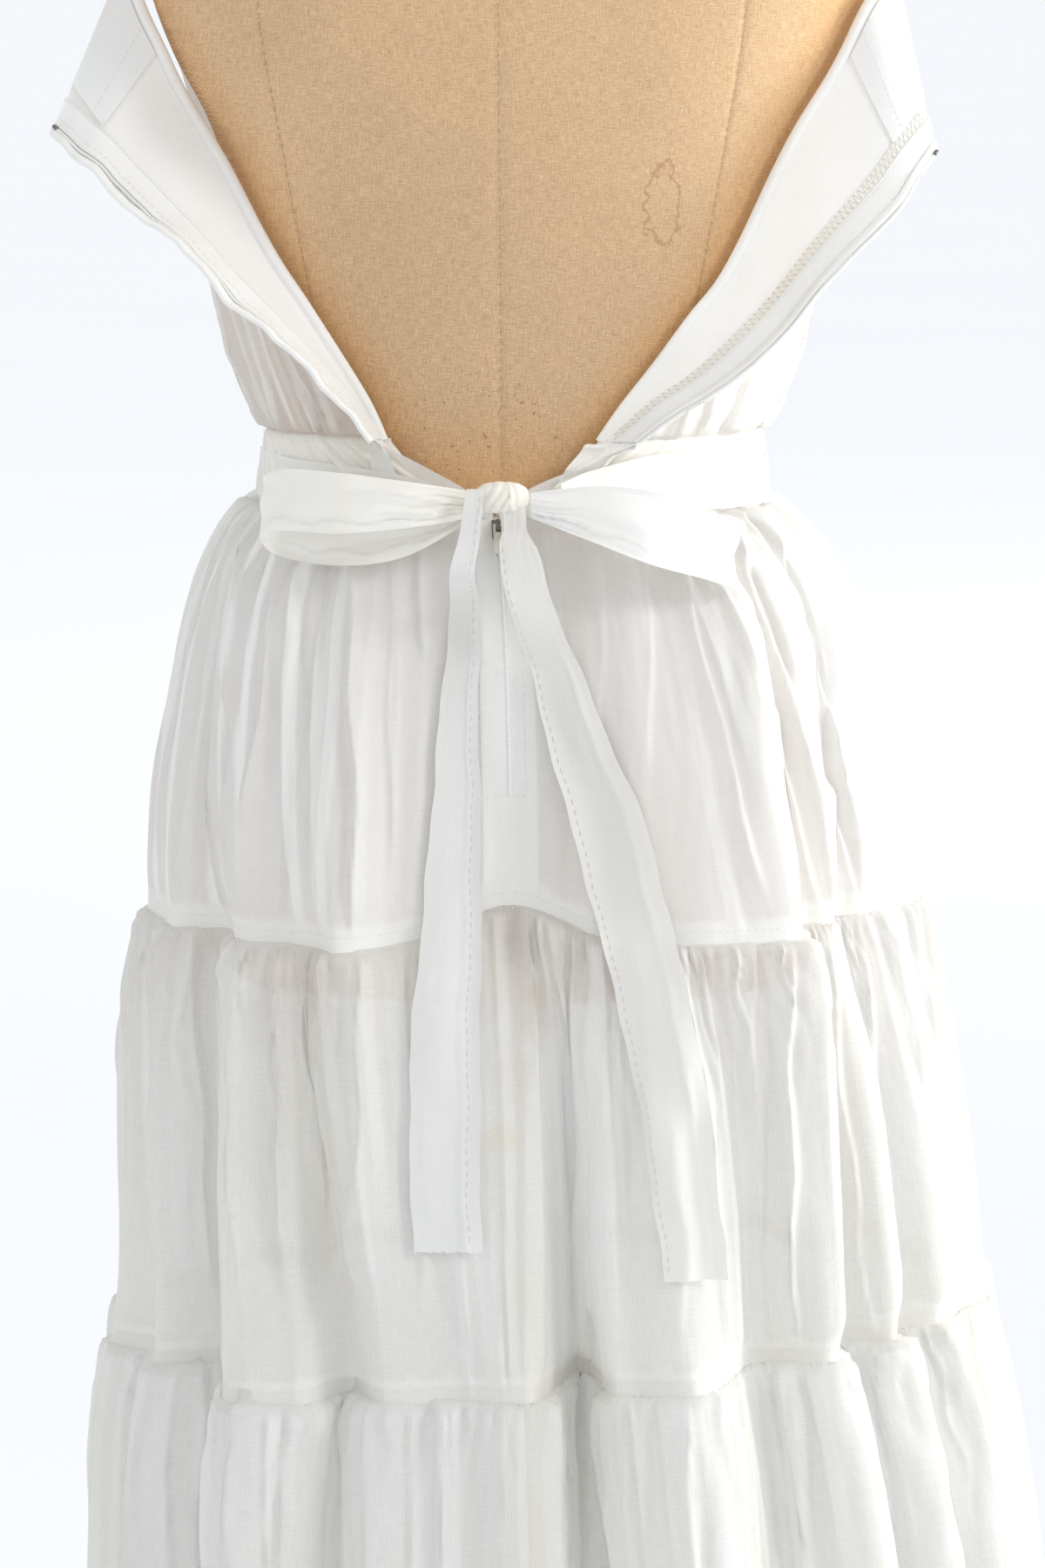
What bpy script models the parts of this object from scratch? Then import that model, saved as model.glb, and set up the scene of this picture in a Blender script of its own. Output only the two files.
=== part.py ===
"""Tiered cotton voile maxi dress, back zip undone, resting on a limbless dress form.

World frame: metres, +Z up, origin on the floor under the pole, front towards -Y, back towards +Y.
The tables below are in centimetres, with heights counted from the waist (up is positive).
Left and right are the wearer's: left is +X. Angles run from the left side (0) over the centre
back (90) and the right side (180) to the centre front (270).
"""
import math

import bmesh
import bpy
import numpy as np
from mathutils import Matrix, Vector

CM = 0.01
WAIST_HEIGHT = 1.06
CLOTH_WALL = 0.0012
TIE_WALL = 0.0015
SEAM_GAP = 0.035          # between the mid lines of two sewn pieces, along the cloth
SIDE_GAP_DEG = 0.16       # the same at the side and centre back seams, as an angle
FACING_CLEAR = 0.18       # from one cloth's middle to the next cloth lying on it
TAPE_CLEAR = 0.30

# ---------------------------------------------------------------- dress form
FORM_POWER = 2.3
FORM = (  # height, half width, back depth, front depth
    (-25.5, 13.9, 9.4, 8.4),
    (-24.0, 15.2, 10.5, 9.4),
    (-20.0, 16.4, 11.2, 10.2),
    (-15.0, 16.0, 11.0, 10.1),
    (-10.0, 14.8, 10.4, 9.6),
    (-5.0, 13.2, 9.4, 9.1),
    (0.0, 11.6, 8.4, 8.8),
    (5.0, 12.1, 8.6, 9.5),
    (10.0, 13.2, 9.3, 10.8),
    (17.0, 15.0, 10.1, 12.6),
    (20.0, 16.6, 10.4, 12.3),
    (24.0, 18.0, 10.4, 10.9),
    (27.0, 18.5, 10.2, 9.6),
    (30.0, 18.2, 9.4, 8.6),
    (33.0, 16.4, 8.2, 7.2),
    (35.0, 13.2, 7.3, 6.4),
    (37.0, 9.6, 6.7, 5.9),
    (38.5, 7.4, 6.2, 5.6),
    (43.0, 6.3, 5.7, 5.3),
)
FORM_SEGMENTS = 32
NECK_CAP_RADIUS = 6.6
NECK_CAP_HEIGHT = 2.2
POLE_RADIUS = 1.4
COLLAR_RADIUS = 3.2
COLLAR_HEIGHT = 2.4
BASE_RADIUS = 19.0
BASE_HEIGHT = 2.6
BASE_ROUNDING = 0.6
HARD_GAP = 0.04

# ---------------------------------------------------------------- skirt
SKIRT_POWER = 2.4
SKIRT = (  # height, centre x, left edge x, right edge x, back depth, front depth
    (-100.0, -3.6, 26.0, 33.0, 27.0, 24.5),
    (-69.0, -2.8, 21.8, 27.9, 20.6, 19.6),
    (-57.0, -2.4, 21.1, 26.6, 18.8, 18.2),
    (-47.6, -2.0, 20.8, 25.1, 17.6, 17.0),
    (-42.5, -1.8, 19.8, 23.7, 17.0, 16.4),
    (-34.0, -1.4, 19.5, 22.7, 16.0, 15.4),
    (-25.0, -1.0, 18.8, 21.1, 14.4, 13.6),
    (-22.0, -0.8, 18.2, 20.4, 13.5, 12.6),
    (-20.0, -0.7, 18.2, 20.1, 13.3, 12.4),
    (-16.3, -0.7, 17.9, 19.3, 12.9, 11.9),
    (-12.0, -0.6, 17.0, 18.2, 12.3, 11.3),
    (-7.5, -0.4, 15.8, 17.0, 11.4, 10.6),
    (-5.3, -0.2, 15.0, 15.8, 10.7, 10.1),
    (-3.1, 0.0, 13.7, 14.1, 9.9, 9.8),
    (-1.8, 0.1, 12.5, 12.5, 9.2, 9.5),
)
FOLD_HEIGHTS = (-100.0, -43.0, -22.0, -3.0)
FOLDS = (  # angle at hem, second seam, first seam, waist, then how far out at the same four
    (8, 10, 4, 0, 1.0, 0.2, 0.0, 0.15),       # left side seam
    (20, 22, 16, 14, -2.5, -1.8, -0.6, -0.15),
    (30, 30, 27, 23, 1.2, -0.6, -0.2, 0.25),
    (43, 41, 39, 33, -4.2, -4.0, -1.7, -0.25),
    (58, 60, 55, 45, 4.0, 3.4, 1.0, 0.25),
    (65, 66, 61, 53, 1.5, 2.8, 0.8, -0.1),
    (70, 71, 65, 60, -1.0, 0.0, 1.0, -0.2),
    (76, 77, 70, 66, 3.4, 2.3, 2.3, 0.25),
    (82, 84, 79, 76, 1.0, 1.8, 0.6, -0.1),
    (90, 90, 90, 90, 3.2, 2.4, -1.1, -0.1),   # centre back seam
    (94, 94, 95, 96, -4.5, -3.8, -0.5, -0.1),
    (100, 98, 99, 101, 2.8, 1.6, 0.2, 0.0),
    (107, 106, 106, 107, 3.6, 2.7, 1.2, 0.1),
    (119, 118, 115, 114, -3.6, -2.8, 1.6, 0.0),
    (131, 129, 127, 123, 2.0, -0.9, 1.9, 0.25),
    (141, 139, 136, 131, -4.3, -4.0, -2.0, -0.25),
    (150, 148, 143, 139, 1.5, -1.8, -1.5, 0.2),
    (158, 155, 151, 147, -3.2, -3.4, -2.9, -0.2),
    (166, 163, 160, 156, 1.4, -1.2, -1.9, 0.2),
    (175, 172, 170, 168, -1.6, -1.0, -1.2, -0.1),
    (184, 181, 180, 180, 0.8, 0.4, 0.0, 0.15),  # right side seam
    (195, 193, 192, 191, -2.8, -1.6, -0.8, -0.2),
    (205, 204, 203, 202, 2.2, 1.4, 0.5, 0.25),
    (216, 215, 214, 213, -3.6, -2.4, -1.0, -0.25),
    (228, 227, 226, 225, 3.4, 2.4, 1.0, 0.2),
    (239, 238, 238, 238, -3.0, -2.2, -0.9, -0.2),
    (249, 249, 250, 250, 3.0, 2.0, 0.8, 0.2),
    (261, 261, 261, 262, -2.6, -1.6, -0.5, -0.1),
    (272, 272, 272, 272, 2.4, 1.6, 0.6, 0.1),
    (284, 283, 283, 283, -3.4, -2.2, -0.8, -0.2),
    (295, 295, 294, 294, 3.2, 2.3, 1.0, 0.25),
    (307, 306, 306, 306, -3.0, -2.3, -0.9, -0.2),
    (319, 318, 318, 317, 3.4, 2.2, 0.9, 0.2),
    (331, 330, 330, 329, -3.0, -1.8, -0.8, -0.25),
    (343, 343, 342, 341, 2.4, 1.4, 0.4, 0.2),
    (355, 355, 352, 350, -2.0, -1.2, -0.5, -0.1),
)
SIDE_LEFT_FOLD = 0
CENTRE_BACK_FOLD = 9
SIDE_RIGHT_FOLD = 20
STEPS_PER_FOLD = 2
TIERS = (  # name, top height, rows of faces
    ("tier_1", -1.87, 5),
    ("tier_2", -22.0, 4),
    ("tier_3", -43.0, 2),
    ("tier_4", -69.0, 3),
)
HEM_HEIGHT = -99.5
SEAM_TILT = (0.0, 0.02, 0.048, 0.05, 0.05)   # rise per cm towards the right side, seam by seam
CENTRE_RISE = 1.8                            # of the first seam, at the centre back
CENTRE_RISE_WIDTH = 3.4
PLACKET = (  # height, half opening between the centre back edges of the first tier
    (-30.0, 0.035),
    (-8.4, 0.035),
    (-7.9, 0.18),
    (-3.8, 0.22),
    (-3.2, 0.50),
    (-1.8, 0.58),
)

# ---------------------------------------------------------------- waistband and tie
BAND_LOW = -1.80
BAND_HIGH = 1.70
BAND_OUT = 0.55
BAND_POWER_ROWS = 2
BAND_END_LEFT = (0.9, 5.5)      # x of its centre back end at the lower and the upper edge
BAND_END_RIGHT = (-0.7, -4.6)
BAND_COLUMNS = 12
TIE_PATH = (  # angle from the side seam to the centre back, height, out from the form, half width
    (2.0, -0.05, 0.86, 1.60),
    (20.0, -0.05, 0.86, 1.60),
    (40.0, -0.15, 0.86, 1.50),
    (58.0, -0.30, 0.95, 1.35),
    (72.0, -0.60, 1.50, 1.10),
    (79.0, -0.90, 2.35, 0.85),
)
KNOT_CENTRE = (-0.25, 11.65, -0.98)
KNOT_HALF = (1.38, 0.85, 0.95)
LOOP_LEFT = (  # upper edge x, y, height, then lower edge x, y, height
    (1.12, 11.75, -0.35, 1.12, 11.80, -1.60),
    (4.0, 12.5, 0.15, 4.0, 12.7, -2.0),
    (7.4, 12.3, 0.55, 7.5, 12.8, -2.3),
    (10.1, 11.0, 0.60, 10.2, 11.6, -2.3),
    (11.2, 10.0, 0.20, 11.3, 10.4, -2.8),
    (10.5, 9.5, -0.30, 10.7, 9.7, -3.7),
    (7.6, 10.6, -0.60, 7.7, 11.2, -4.0),
    (4.3, 11.3, -0.70, 4.4, 11.7, -3.5),
    (1.12, 11.25, -0.65, 1.12, 11.30, -1.70),
)
LOOP_RIGHT = (
    (-1.62, 11.75, -0.40, -1.62, 11.80, -1.60),
    (-4.5, 12.4, 0.0, -4.6, 12.8, -2.6),
    (-7.3, 12.4, -0.2, -7.3, 13.0, -3.6),
    (-10.0, 11.2, -1.2, -9.8, 11.9, -4.4),
    (-11.7, 10.1, -2.0, -11.4, 10.7, -5.0),
    (-11.0, 9.6, -1.8, -10.9, 10.1, -4.7),
    (-8.3, 10.6, -0.8, -8.4, 11.5, -3.5),
    (-4.8, 11.2, -0.4, -4.9, 11.6, -2.6),
    (-1.62, 11.25, -0.55, -1.62, 11.30, -1.65),
)
TAIL_LEFT = (  # height, left edge x, right edge x, least distance behind the axis
    (-0.8, 1.30, 0.70, 12.95),
    (-2.4, 1.75, 0.75, 12.95),
    (-5.0, 2.15, 0.85, 12.8),
    (-10.0, 2.60, 0.85, 0.0),
    (-18.0, 3.20, 0.65, 0.0),
    (-26.3, 3.80, 0.50, 0.0),
    (-31.0, 3.75, 0.40, 0.0),
    (-35.9, 3.55, 0.30, 0.0),
)
TAIL_RIGHT = (
    (-2.25, -0.25, -1.50, 12.2),
    (-3.5, -0.20, -2.15, 12.6),
    (-7.9, -1.35, -3.65, 12.4),
    (-12.0, -2.45, -5.40, 0.0),
    (-16.0, -3.60, -7.20, 0.0),
    (-21.0, -5.05, -8.60, 0.0),
    (-26.1, -6.45, -9.90, 0.0),
    (-31.5, -7.55, -10.75, 0.0),
    (-37.1, -8.40, -11.40, 0.0),
)
TAIL_CLEAR = 0.30

# ---------------------------------------------------------------- bodice
BODICE_LOW = 1.74
SIDE_EASE = (  # height, how far the cloth stands off the form at the side seam
    (1.7, 0.55),
    (3.0, 1.20),
    (5.5, 1.90),
    (10.0, 2.20),
    (14.0, 1.60),
    (18.0, 0.85),
    (24.0, 0.60),
    (30.0, 0.90),
    (36.0, 1.90),
)
BODY_CLEAR = (  # height, the same at the fold line and the neck edge
    (1.7, 0.50),
    (26.0, 0.50),
    (30.0, 0.90),
    (36.0, 1.90),
)
FOLD_RADIUS = 0.32
GATHER_DEPTH = 0.20
GATHERS = 2
GATHER_FADE = 10.0
GATHER_RISE = 2.0
ARMHOLE_BACK = (  # height, angle, up the side seam and round the back of the armhole
    (1.74, 0.0), (6.0, 0.0), (11.0, 0.0), (16.0, 0.0), (18.5, 3.0), (21.0, 2.0),
    (24.3, -4.0), (27.5, -4.0), (30.0, -1.0), (32.0, 0.0),
)
ARMHOLE_FRONT = (  # height, angle in front of the side seam
    (1.74, 0.0), (5.0, 0.0), (9.0, 0.0), (13.0, 0.0), (16.0, 0.0), (19.0, 10.0), (22.5, 14.0),
    (26.0, 12.0), (29.5, 7.0), (32.0, 0.0),
)
NECK_FRONT = (  # height, angle in front of the side seam; 90 is the centre front
    (1.74, 90.0), (6.0, 90.0), (11.0, 90.0), (15.5, 90.0), (19.5, 90.0), (22.8, 90.0),
    (23.1, 72.0), (25.6, 50.0), (30.4, 28.0), (34.3, 0.0),
)
NECK_BACK = (  # height, angle of the strap's neck edge above the fold's upper end
    (27.5, 11.0), (31.2, 9.0), (34.3, 0.0),
)
FLAP_LEFT = (  # fold line x, height, then zip edge x, y, height
    (5.7, 1.74, 6.1, 10.0, 1.8),
    (6.6, 3.7, 7.7, 10.3, 4.0),
    (8.1, 6.1, 10.2, 10.4, 6.4),
    (9.6, 8.4, 12.6, 10.1, 8.7),
    (10.9, 10.3, 14.6, 9.6, 10.6),
    (13.2, 14.4, 17.4, 8.3, 13.0),
    (15.2, 17.5, 19.2, 7.2, 14.6),
    (16.5, 20.1, 20.3, 6.4, 15.4),
    (17.6, 22.2, 21.1, 5.7, 16.1),
    (18.4, 24.3, 21.9, 5.0, 16.7),
)
FLAP_RIGHT = (
    (-4.8, 1.74, -6.6, 10.1, 1.8),
    (-6.0, 3.5, -8.6, 10.4, 3.3),
    (-7.6, 5.6, -11.0, 10.3, 4.8),
    (-9.1, 7.7, -13.2, 10.0, 6.8),
    (-10.6, 9.7, -15.2, 9.5, 9.2),
    (-12.6, 13.9, -17.3, 8.6, 11.4),
    (-14.4, 17.4, -18.8, 7.5, 13.0),
    (-16.0, 20.1, -19.5, 6.6, 14.2),
    (-17.0, 22.2, -20.0, 5.8, 15.0),
    (-18.1, 24.3, -20.6, 5.0, 15.8),
)
UNDER_COLUMNS = 8
BEND_STEPS = 3
FLAP_COLUMNS = 4
FACING_FIRST_ROW = 7
FACING_SHARES = (0.0, 0.25, 0.5, 0.74)   # from the fold line towards the zip edge
TAPE_WIDTH = 1.4
TAPE_BEYOND = 0.25
TAPE_LOW_LEFT = (  # inner edge x, y, height, then outer edge x, y, height, from the slider up
    (0.62, 9.35, -1.85, 0.30, 9.35, -1.75),
    (2.1, 9.45, -0.75, 1.6, 9.75, 0.15),
    (4.2, 9.45, 0.55, 3.7, 9.95, 1.05),
)
TAPE_LOW_RIGHT = (
    (-0.12, 9.35, -1.85, 0.20, 9.35, -1.75),
    (-1.6, 9.45, -0.75, -1.3, 9.75, 0.15),
    (-3.6, 9.45, 0.45, -3.7, 10.15, 0.95),
)

# ---------------------------------------------------------------- zip
ZIP_END = -15.3
SLIDER_TOP = -1.95
SLIDER_LENGTH = 0.95
SLIDER_WIDTH = 0.66
SLIDER_THICK = 0.34
CROWN_WIDTH = 0.15
CROWN_WALL = 0.08
CROWN_REACH = (-0.30, 0.10)    # along the slider, down is positive
CROWN_RISE = 0.40
PULL_WIDTH = 0.50
PULL_LENGTH = 1.45
PULL_WALL = 0.08
PULL_EYE = (0.26, 0.36)        # width across, length along
PULL_PIVOT = (-0.13, 0.25)     # along the slider, out from its outer face
CLOSED_TAPE_WIDTH = 2.2
CLOSED_TAPE_IN = 0.42
STOP_SIZE = (0.34, 0.16, 0.22)

# ---------------------------------------------------------------- materials
LOOKS = {  # colour, roughness, metallic
    "cotton_voile": ((0.90, 0.89, 0.86, 1.0), 0.85, 0.0),
    "tie_voile": ((0.90, 0.87, 0.80, 1.0), 0.85, 0.0),
    "zip_tape": ((0.88, 0.88, 0.86, 1.0), 0.80, 0.0),
    "linen": ((0.62, 0.46, 0.28, 1.0), 0.90, 0.0),
    "turned_wood": ((0.30, 0.17, 0.08, 1.0), 0.45, 0.0),
    "painted_steel": ((0.05, 0.05, 0.05, 1.0), 0.45, 0.3),
    "zip_metal": ((0.55, 0.55, 0.54, 1.0), 0.35, 1.0),
}


def clear_scene():
    for thing in list(bpy.data.objects):
        bpy.data.objects.remove(thing, do_unlink=True)


def collection(name):
    group = bpy.data.collections.new(name)
    bpy.context.scene.collection.children.link(group)
    return group


clear_scene()
PARTS = collection("maxi_dress_on_form")
CUTTERS = collection("cutters")


def material(look):
    found = bpy.data.materials.get(look)
    if found:
        return found
    colour, roughness, metallic = LOOKS[look]
    made = bpy.data.materials.new(look)
    made.use_nodes = True
    shader = made.node_tree.nodes["Principled BSDF"]
    shader.inputs["Base Color"].default_value = colour
    shader.inputs["Roughness"].default_value = roughness
    shader.inputs["Metallic"].default_value = metallic
    made.diffuse_color = colour
    return made


def world(point):
    """A table point (x, y, height above the waist) in cm as a world position in metres."""
    return (point[0] * CM, point[1] * CM, WAIST_HEIGHT + point[2] * CM)


def add_mesh(name, vertices, faces, look, group=None):
    mesh = bpy.data.meshes.new(name)
    mesh.from_pydata([tuple(v) for v in vertices], [], faces)
    mesh.materials.append(material(look))
    thing = bpy.data.objects.new(name, mesh)
    (group or PARTS).objects.link(thing)
    return thing


def weld(thing, distance=1e-5):
    """Joins the vertices two strips of one piece share, and turns all faces one way."""
    work = bmesh.new()
    work.from_mesh(thing.data)
    bmesh.ops.remove_doubles(work, verts=work.verts, dist=distance)
    bmesh.ops.recalc_face_normals(work, faces=work.faces)
    work.to_mesh(thing.data)
    work.free()


def strip_faces(rows, columns, first=0):
    faces = []
    for r in range(rows - 1):
        for c in range(columns - 1):
            a = first + r * columns + c
            faces.append((a, a + 1, a + columns + 1, a + columns))
    return faces


def cloth(name, strips, look="cotton_voile", wall=CLOTH_WALL, mirrored=False):
    """One cut piece: strips of rows of points as its middle surface, given a wall both ways."""
    vertices = []
    faces = []
    for strip in strips:
        faces += strip_faces(len(strip), len(strip[0]), len(vertices))
        vertices += [world(point) for row in strip for point in row]
    piece = add_mesh(name, vertices, faces, look)
    weld(piece)
    if mirrored:
        mirror = piece.modifiers.new("Mirror", "MIRROR")
        mirror.use_clip = True
        mirror.merge_threshold = 0.00005
    shell = piece.modifiers.new("Wall", "SOLIDIFY")
    shell.thickness = wall
    shell.offset = 0.0
    return piece


def column(table, height, index):
    """One column of a table at a height, smooth through its rows."""
    rows = sorted(table)
    heights = np.array([row[0] for row in rows], dtype=float)
    values = np.array([row[index] for row in rows], dtype=float)
    if height <= heights[0]:
        return float(values[0])
    if height >= heights[-1]:
        return float(values[-1])
    slopes = np.gradient(values, heights)
    i = int(np.searchsorted(heights, height) - 1)
    span = heights[i + 1] - heights[i]
    t = (height - heights[i]) / span
    rise = (values[i + 1] - values[i]) * (3 * t ** 2 - 2 * t ** 3) + values[i]
    bend = span * (slopes[i] * (t ** 3 - 2 * t ** 2 + t) + slopes[i + 1] * (t ** 3 - t ** 2))
    return float(rise + bend)


def straight(table, height, index):
    rows = sorted(table)
    return float(np.interp(height, [row[0] for row in rows], [row[index] for row in rows]))


def spread(table, count):
    """Count rows spaced evenly along a table of points, smooth through them."""
    rows = np.array(table, dtype=float)
    places = np.linspace(0, len(rows) - 1, count)
    out = []
    for place in places:
        i = min(int(place), len(rows) - 2)
        t = place - i
        before = rows[max(i - 1, 0)]
        after = rows[min(i + 2, len(rows) - 1)]
        a, b = rows[i], rows[i + 1]
        out.append(a + 0.5 * t * (b - before + t * (2 * before - 5 * a + 4 * b - after
                                                   + t * (3 * (a - b) + after - before))))
    return np.array(out)


def evenly(table, count):
    """Count rows spaced evenly along a table, straight from row to row."""
    rows = np.array(table, dtype=float)
    places = np.linspace(0, len(rows) - 1, count)
    steps = np.arange(len(rows))
    return np.array([np.interp(places, steps, rows[:, k]) for k in range(rows.shape[1])]).T


def ellipse(angle, left, right, back, front, power):
    c = math.cos(math.radians(angle))
    s = math.sin(math.radians(angle))
    x = (left if c > 0 else right) * math.copysign(abs(c) ** (2 / power), c)
    y = (back if s > 0 else front) * math.copysign(abs(s) ** (2 / power), s)
    return x, y


def form_point(angle, height, out=0.0):
    wide = column(FORM, height, 1)
    back = column(FORM, height, 2)
    front = column(FORM, height, 3)
    x, y = ellipse(angle, wide, wide, back, front, FORM_POWER)
    deep = back if y > 0 else front
    across = math.copysign((abs(x) / wide) ** (FORM_POWER - 1) / wide, x)
    along = math.copysign((abs(y) / deep) ** (FORM_POWER - 1) / deep, y)
    length = math.hypot(across, along)
    return np.array((x + out * across / length, y + out * along / length, height))


def form_angle(x, height, out=0.0):
    """The angle on the back of the form where a line at this x meets the cloth."""
    wide = column(FORM, height, 1) + out
    share = min(abs(x) / wide, 0.9999)
    angle = math.degrees(math.acos(share ** (FORM_POWER / 2)))
    return angle if x > 0 else 180 - angle


# ---------------------------------------------------------------- the form and its stand
def build_form():
    heights = [row[0] for row in FORM]
    rings = []
    for height in heights:
        rings.append([form_point(360 * k / FORM_SEGMENTS, height) for k in range(FORM_SEGMENTS)])
    vertices = [world(point) for ring in rings for point in ring]
    faces = []
    for r in range(len(rings) - 1):
        for k in range(FORM_SEGMENTS):
            nxt = (k + 1) % FORM_SEGMENTS
            low = r * FORM_SEGMENTS
            high = low + FORM_SEGMENTS
            faces.append((low + k, low + nxt, high + nxt, high + k))
    for ring, height in ((0, heights[0]), (len(rings) - 1, heights[-1])):
        centre = len(vertices)
        vertices.append(world((0.0, 0.0, height)))
        for k in range(FORM_SEGMENTS):
            a = ring * FORM_SEGMENTS + k
            b = ring * FORM_SEGMENTS + (k + 1) % FORM_SEGMENTS
            faces.append((b, a, centre) if ring == 0 else (a, b, centre))
    weld(add_mesh("form_torso", vertices, faces, "linen"))


def turned(name, profile, look, steps):
    """A solid turned on the upright axis, from its outer profile, top to bottom (r, z) in cm."""
    points = [(r * CM, 0.0, z * CM) for r, z in profile]
    edges = [(i, i + 1) for i in range(len(points) - 1)]
    mesh = bpy.data.meshes.new(name)
    mesh.from_pydata(points, edges, [])
    mesh.materials.append(material(look))
    thing = bpy.data.objects.new(name, mesh)
    PARTS.objects.link(thing)
    screw = thing.modifiers.new("Turn", "SCREW")
    screw.steps = steps
    screw.render_steps = steps
    screw.use_merge_vertices = True
    screw.merge_threshold = 0.00005
    return thing


def build_stand():
    top = WAIST_HEIGHT / CM + FORM[-1][0] + HARD_GAP
    turned("form_neck_cap", (
        (0.0, top + NECK_CAP_HEIGHT),
        (NECK_CAP_RADIUS * 0.55, top + NECK_CAP_HEIGHT * 0.88),
        (NECK_CAP_RADIUS * 0.90, top + NECK_CAP_HEIGHT * 0.55),
        (NECK_CAP_RADIUS, top + NECK_CAP_HEIGHT * 0.25),
        (NECK_CAP_RADIUS, top),
        (0.0, top),
    ), "turned_wood", 28)
    under = WAIST_HEIGHT / CM + FORM[0][0] - HARD_GAP
    turned("stand_pole", (
        (0.0, under),
        (COLLAR_RADIUS, under),
        (COLLAR_RADIUS, under - COLLAR_HEIGHT),
        (POLE_RADIUS, under - COLLAR_HEIGHT - 0.6),
        (POLE_RADIUS, BASE_HEIGHT + HARD_GAP + COLLAR_HEIGHT),
        (COLLAR_RADIUS, BASE_HEIGHT + HARD_GAP + 0.5),
        (COLLAR_RADIUS, BASE_HEIGHT + HARD_GAP),
        (0.0, BASE_HEIGHT + HARD_GAP),
    ), "painted_steel", 24)
    turned("stand_base", (
        (0.0, BASE_HEIGHT),
        (BASE_RADIUS * 0.35, BASE_HEIGHT),
        (BASE_RADIUS - 1.5, BASE_HEIGHT * 0.62),
        (BASE_RADIUS - BASE_ROUNDING * 0.3, BASE_HEIGHT * 0.45),
        (BASE_RADIUS, BASE_HEIGHT * 0.25),
        (BASE_RADIUS, 0.0),
        (0.0, 0.0),
    ), "painted_steel", 40)


# ---------------------------------------------------------------- the skirt
def fold_at(place, height):
    """Angle and outward distance of a place along the ring of folds, whole numbers being rows."""
    rows = len(FOLDS)
    low = math.floor(place)
    share = place - low
    ends = []
    for k in (low, low + 1):
        row = FOLDS[k % rows]
        turn = 360 * (k // rows)
        angle = np.interp(height, FOLD_HEIGHTS, row[:4]) + turn
        out = np.interp(height, FOLD_HEIGHTS, row[4:])
        ends.append((angle, out))
    angle = ends[0][0] + share * (ends[1][0] - ends[0][0])
    ease = share * share * (3 - 2 * share)
    return angle, ends[0][1] + ease * (ends[1][1] - ends[0][1])


def skirt_point(place, height, angle_shift=0.0):
    angle, out = fold_at(place, height)
    angle += angle_shift
    centre = column(SKIRT, height, 1)
    left = column(SKIRT, height, 2) - centre
    right = centre + column(SKIRT, height, 3)
    back = column(SKIRT, height, 4)
    front = column(SKIRT, height, 5)
    x, y = ellipse(angle, left, right, back, front, SKIRT_POWER)
    wide = left if x > 0 else right
    deep = back if y > 0 else front
    across = math.copysign((abs(x) / wide) ** (SKIRT_POWER - 1) / wide, x)
    along = math.copysign((abs(y) / deep) ** (SKIRT_POWER - 1) / deep, y)
    length = math.hypot(across, along)
    return np.array((centre + x + out * across / length, y + out * along / length, height))


def seam_height(seam, place):
    """Height of the waist seam (0), of the seams between the tiers (1 to 3) or of the hem (4)."""
    flat = TIERS[seam][1] if seam < len(TIERS) else HEM_HEIGHT
    x, y, _ = skirt_point(place, flat)
    height = flat - SEAM_TILT[seam] * x
    if seam == 1 and y > 0:
        off = (x - column(SKIRT, flat, 1)) / CENTRE_RISE_WIDTH
        height += CENTRE_RISE * math.exp(-off * off)
    return height


def tier_grid(tier, first, last):
    """Rows of a tier's panel between two seams of the ring of folds, its edges held apart."""
    rows = TIERS[tier][2]
    count = (last - first) * STEPS_PER_FOLD + 1
    grid = []
    for r in range(rows + 1):
        row = []
        for c in range(count):
            place = first + (last - first) * c / (count - 1)
            top = seam_height(tier, place) - (SEAM_GAP if tier else 0.0)
            low = seam_height(tier + 1, place) + (SEAM_GAP if tier < len(TIERS) - 1 else 0.0)
            height = top + (low - top) * r / rows
            shift = SIDE_GAP_DEG * ((c == 0) - (c == count - 1))
            point = skirt_point(place, height, shift)
            at_back = (c == 0 and first == CENTRE_BACK_FOLD) or (
                c == count - 1 and last == CENTRE_BACK_FOLD)
            if at_back:
                middle = skirt_point(CENTRE_BACK_FOLD, height)
                half = straight(PLACKET, height, 1)
                side = 1 if last == CENTRE_BACK_FOLD else -1
                point = middle + np.array((side * half, 0.0, 0.0))
            row.append(point)
        grid.append(row)
    return grid


def build_skirt():
    panels = (
        ("back_left", SIDE_LEFT_FOLD, CENTRE_BACK_FOLD),
        ("back_right", CENTRE_BACK_FOLD, SIDE_RIGHT_FOLD),
        ("front", SIDE_RIGHT_FOLD, len(FOLDS)),
    )
    for tier, (name, _, _) in enumerate(TIERS):
        for side, first, last in panels:
            cloth(f"skirt_{name}_{side}", [tier_grid(tier, first, last)])


def skirt_depth(x, height):
    """How far behind the axis the skirt's back reaches at this x and height."""
    places = np.linspace(SIDE_LEFT_FOLD + 2, SIDE_RIGHT_FOLD - 2, 81)
    ring = np.array([skirt_point(place, height) for place in places])
    near = ring[np.abs(ring[:, 0] - x) < 1.1]
    return float(near[:, 1].max())


# ---------------------------------------------------------------- waistband, tie and bow
def band_grid(start, end_low, end_high):
    """Rows of the waistband's back from a side seam to its slanting centre back end."""
    grid = []
    for r in range(BAND_POWER_ROWS + 1):
        share = r / BAND_POWER_ROWS
        height = BAND_LOW + (BAND_HIGH - BAND_LOW) * share
        end = form_angle(end_low + (end_high - end_low) * share, height, BAND_OUT)
        row = []
        for c in range(BAND_COLUMNS + 1):
            angle = start + (end - start) * c / BAND_COLUMNS
            row.append(form_point(angle, height, BAND_OUT))
        grid.append(row)
    return grid


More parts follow.
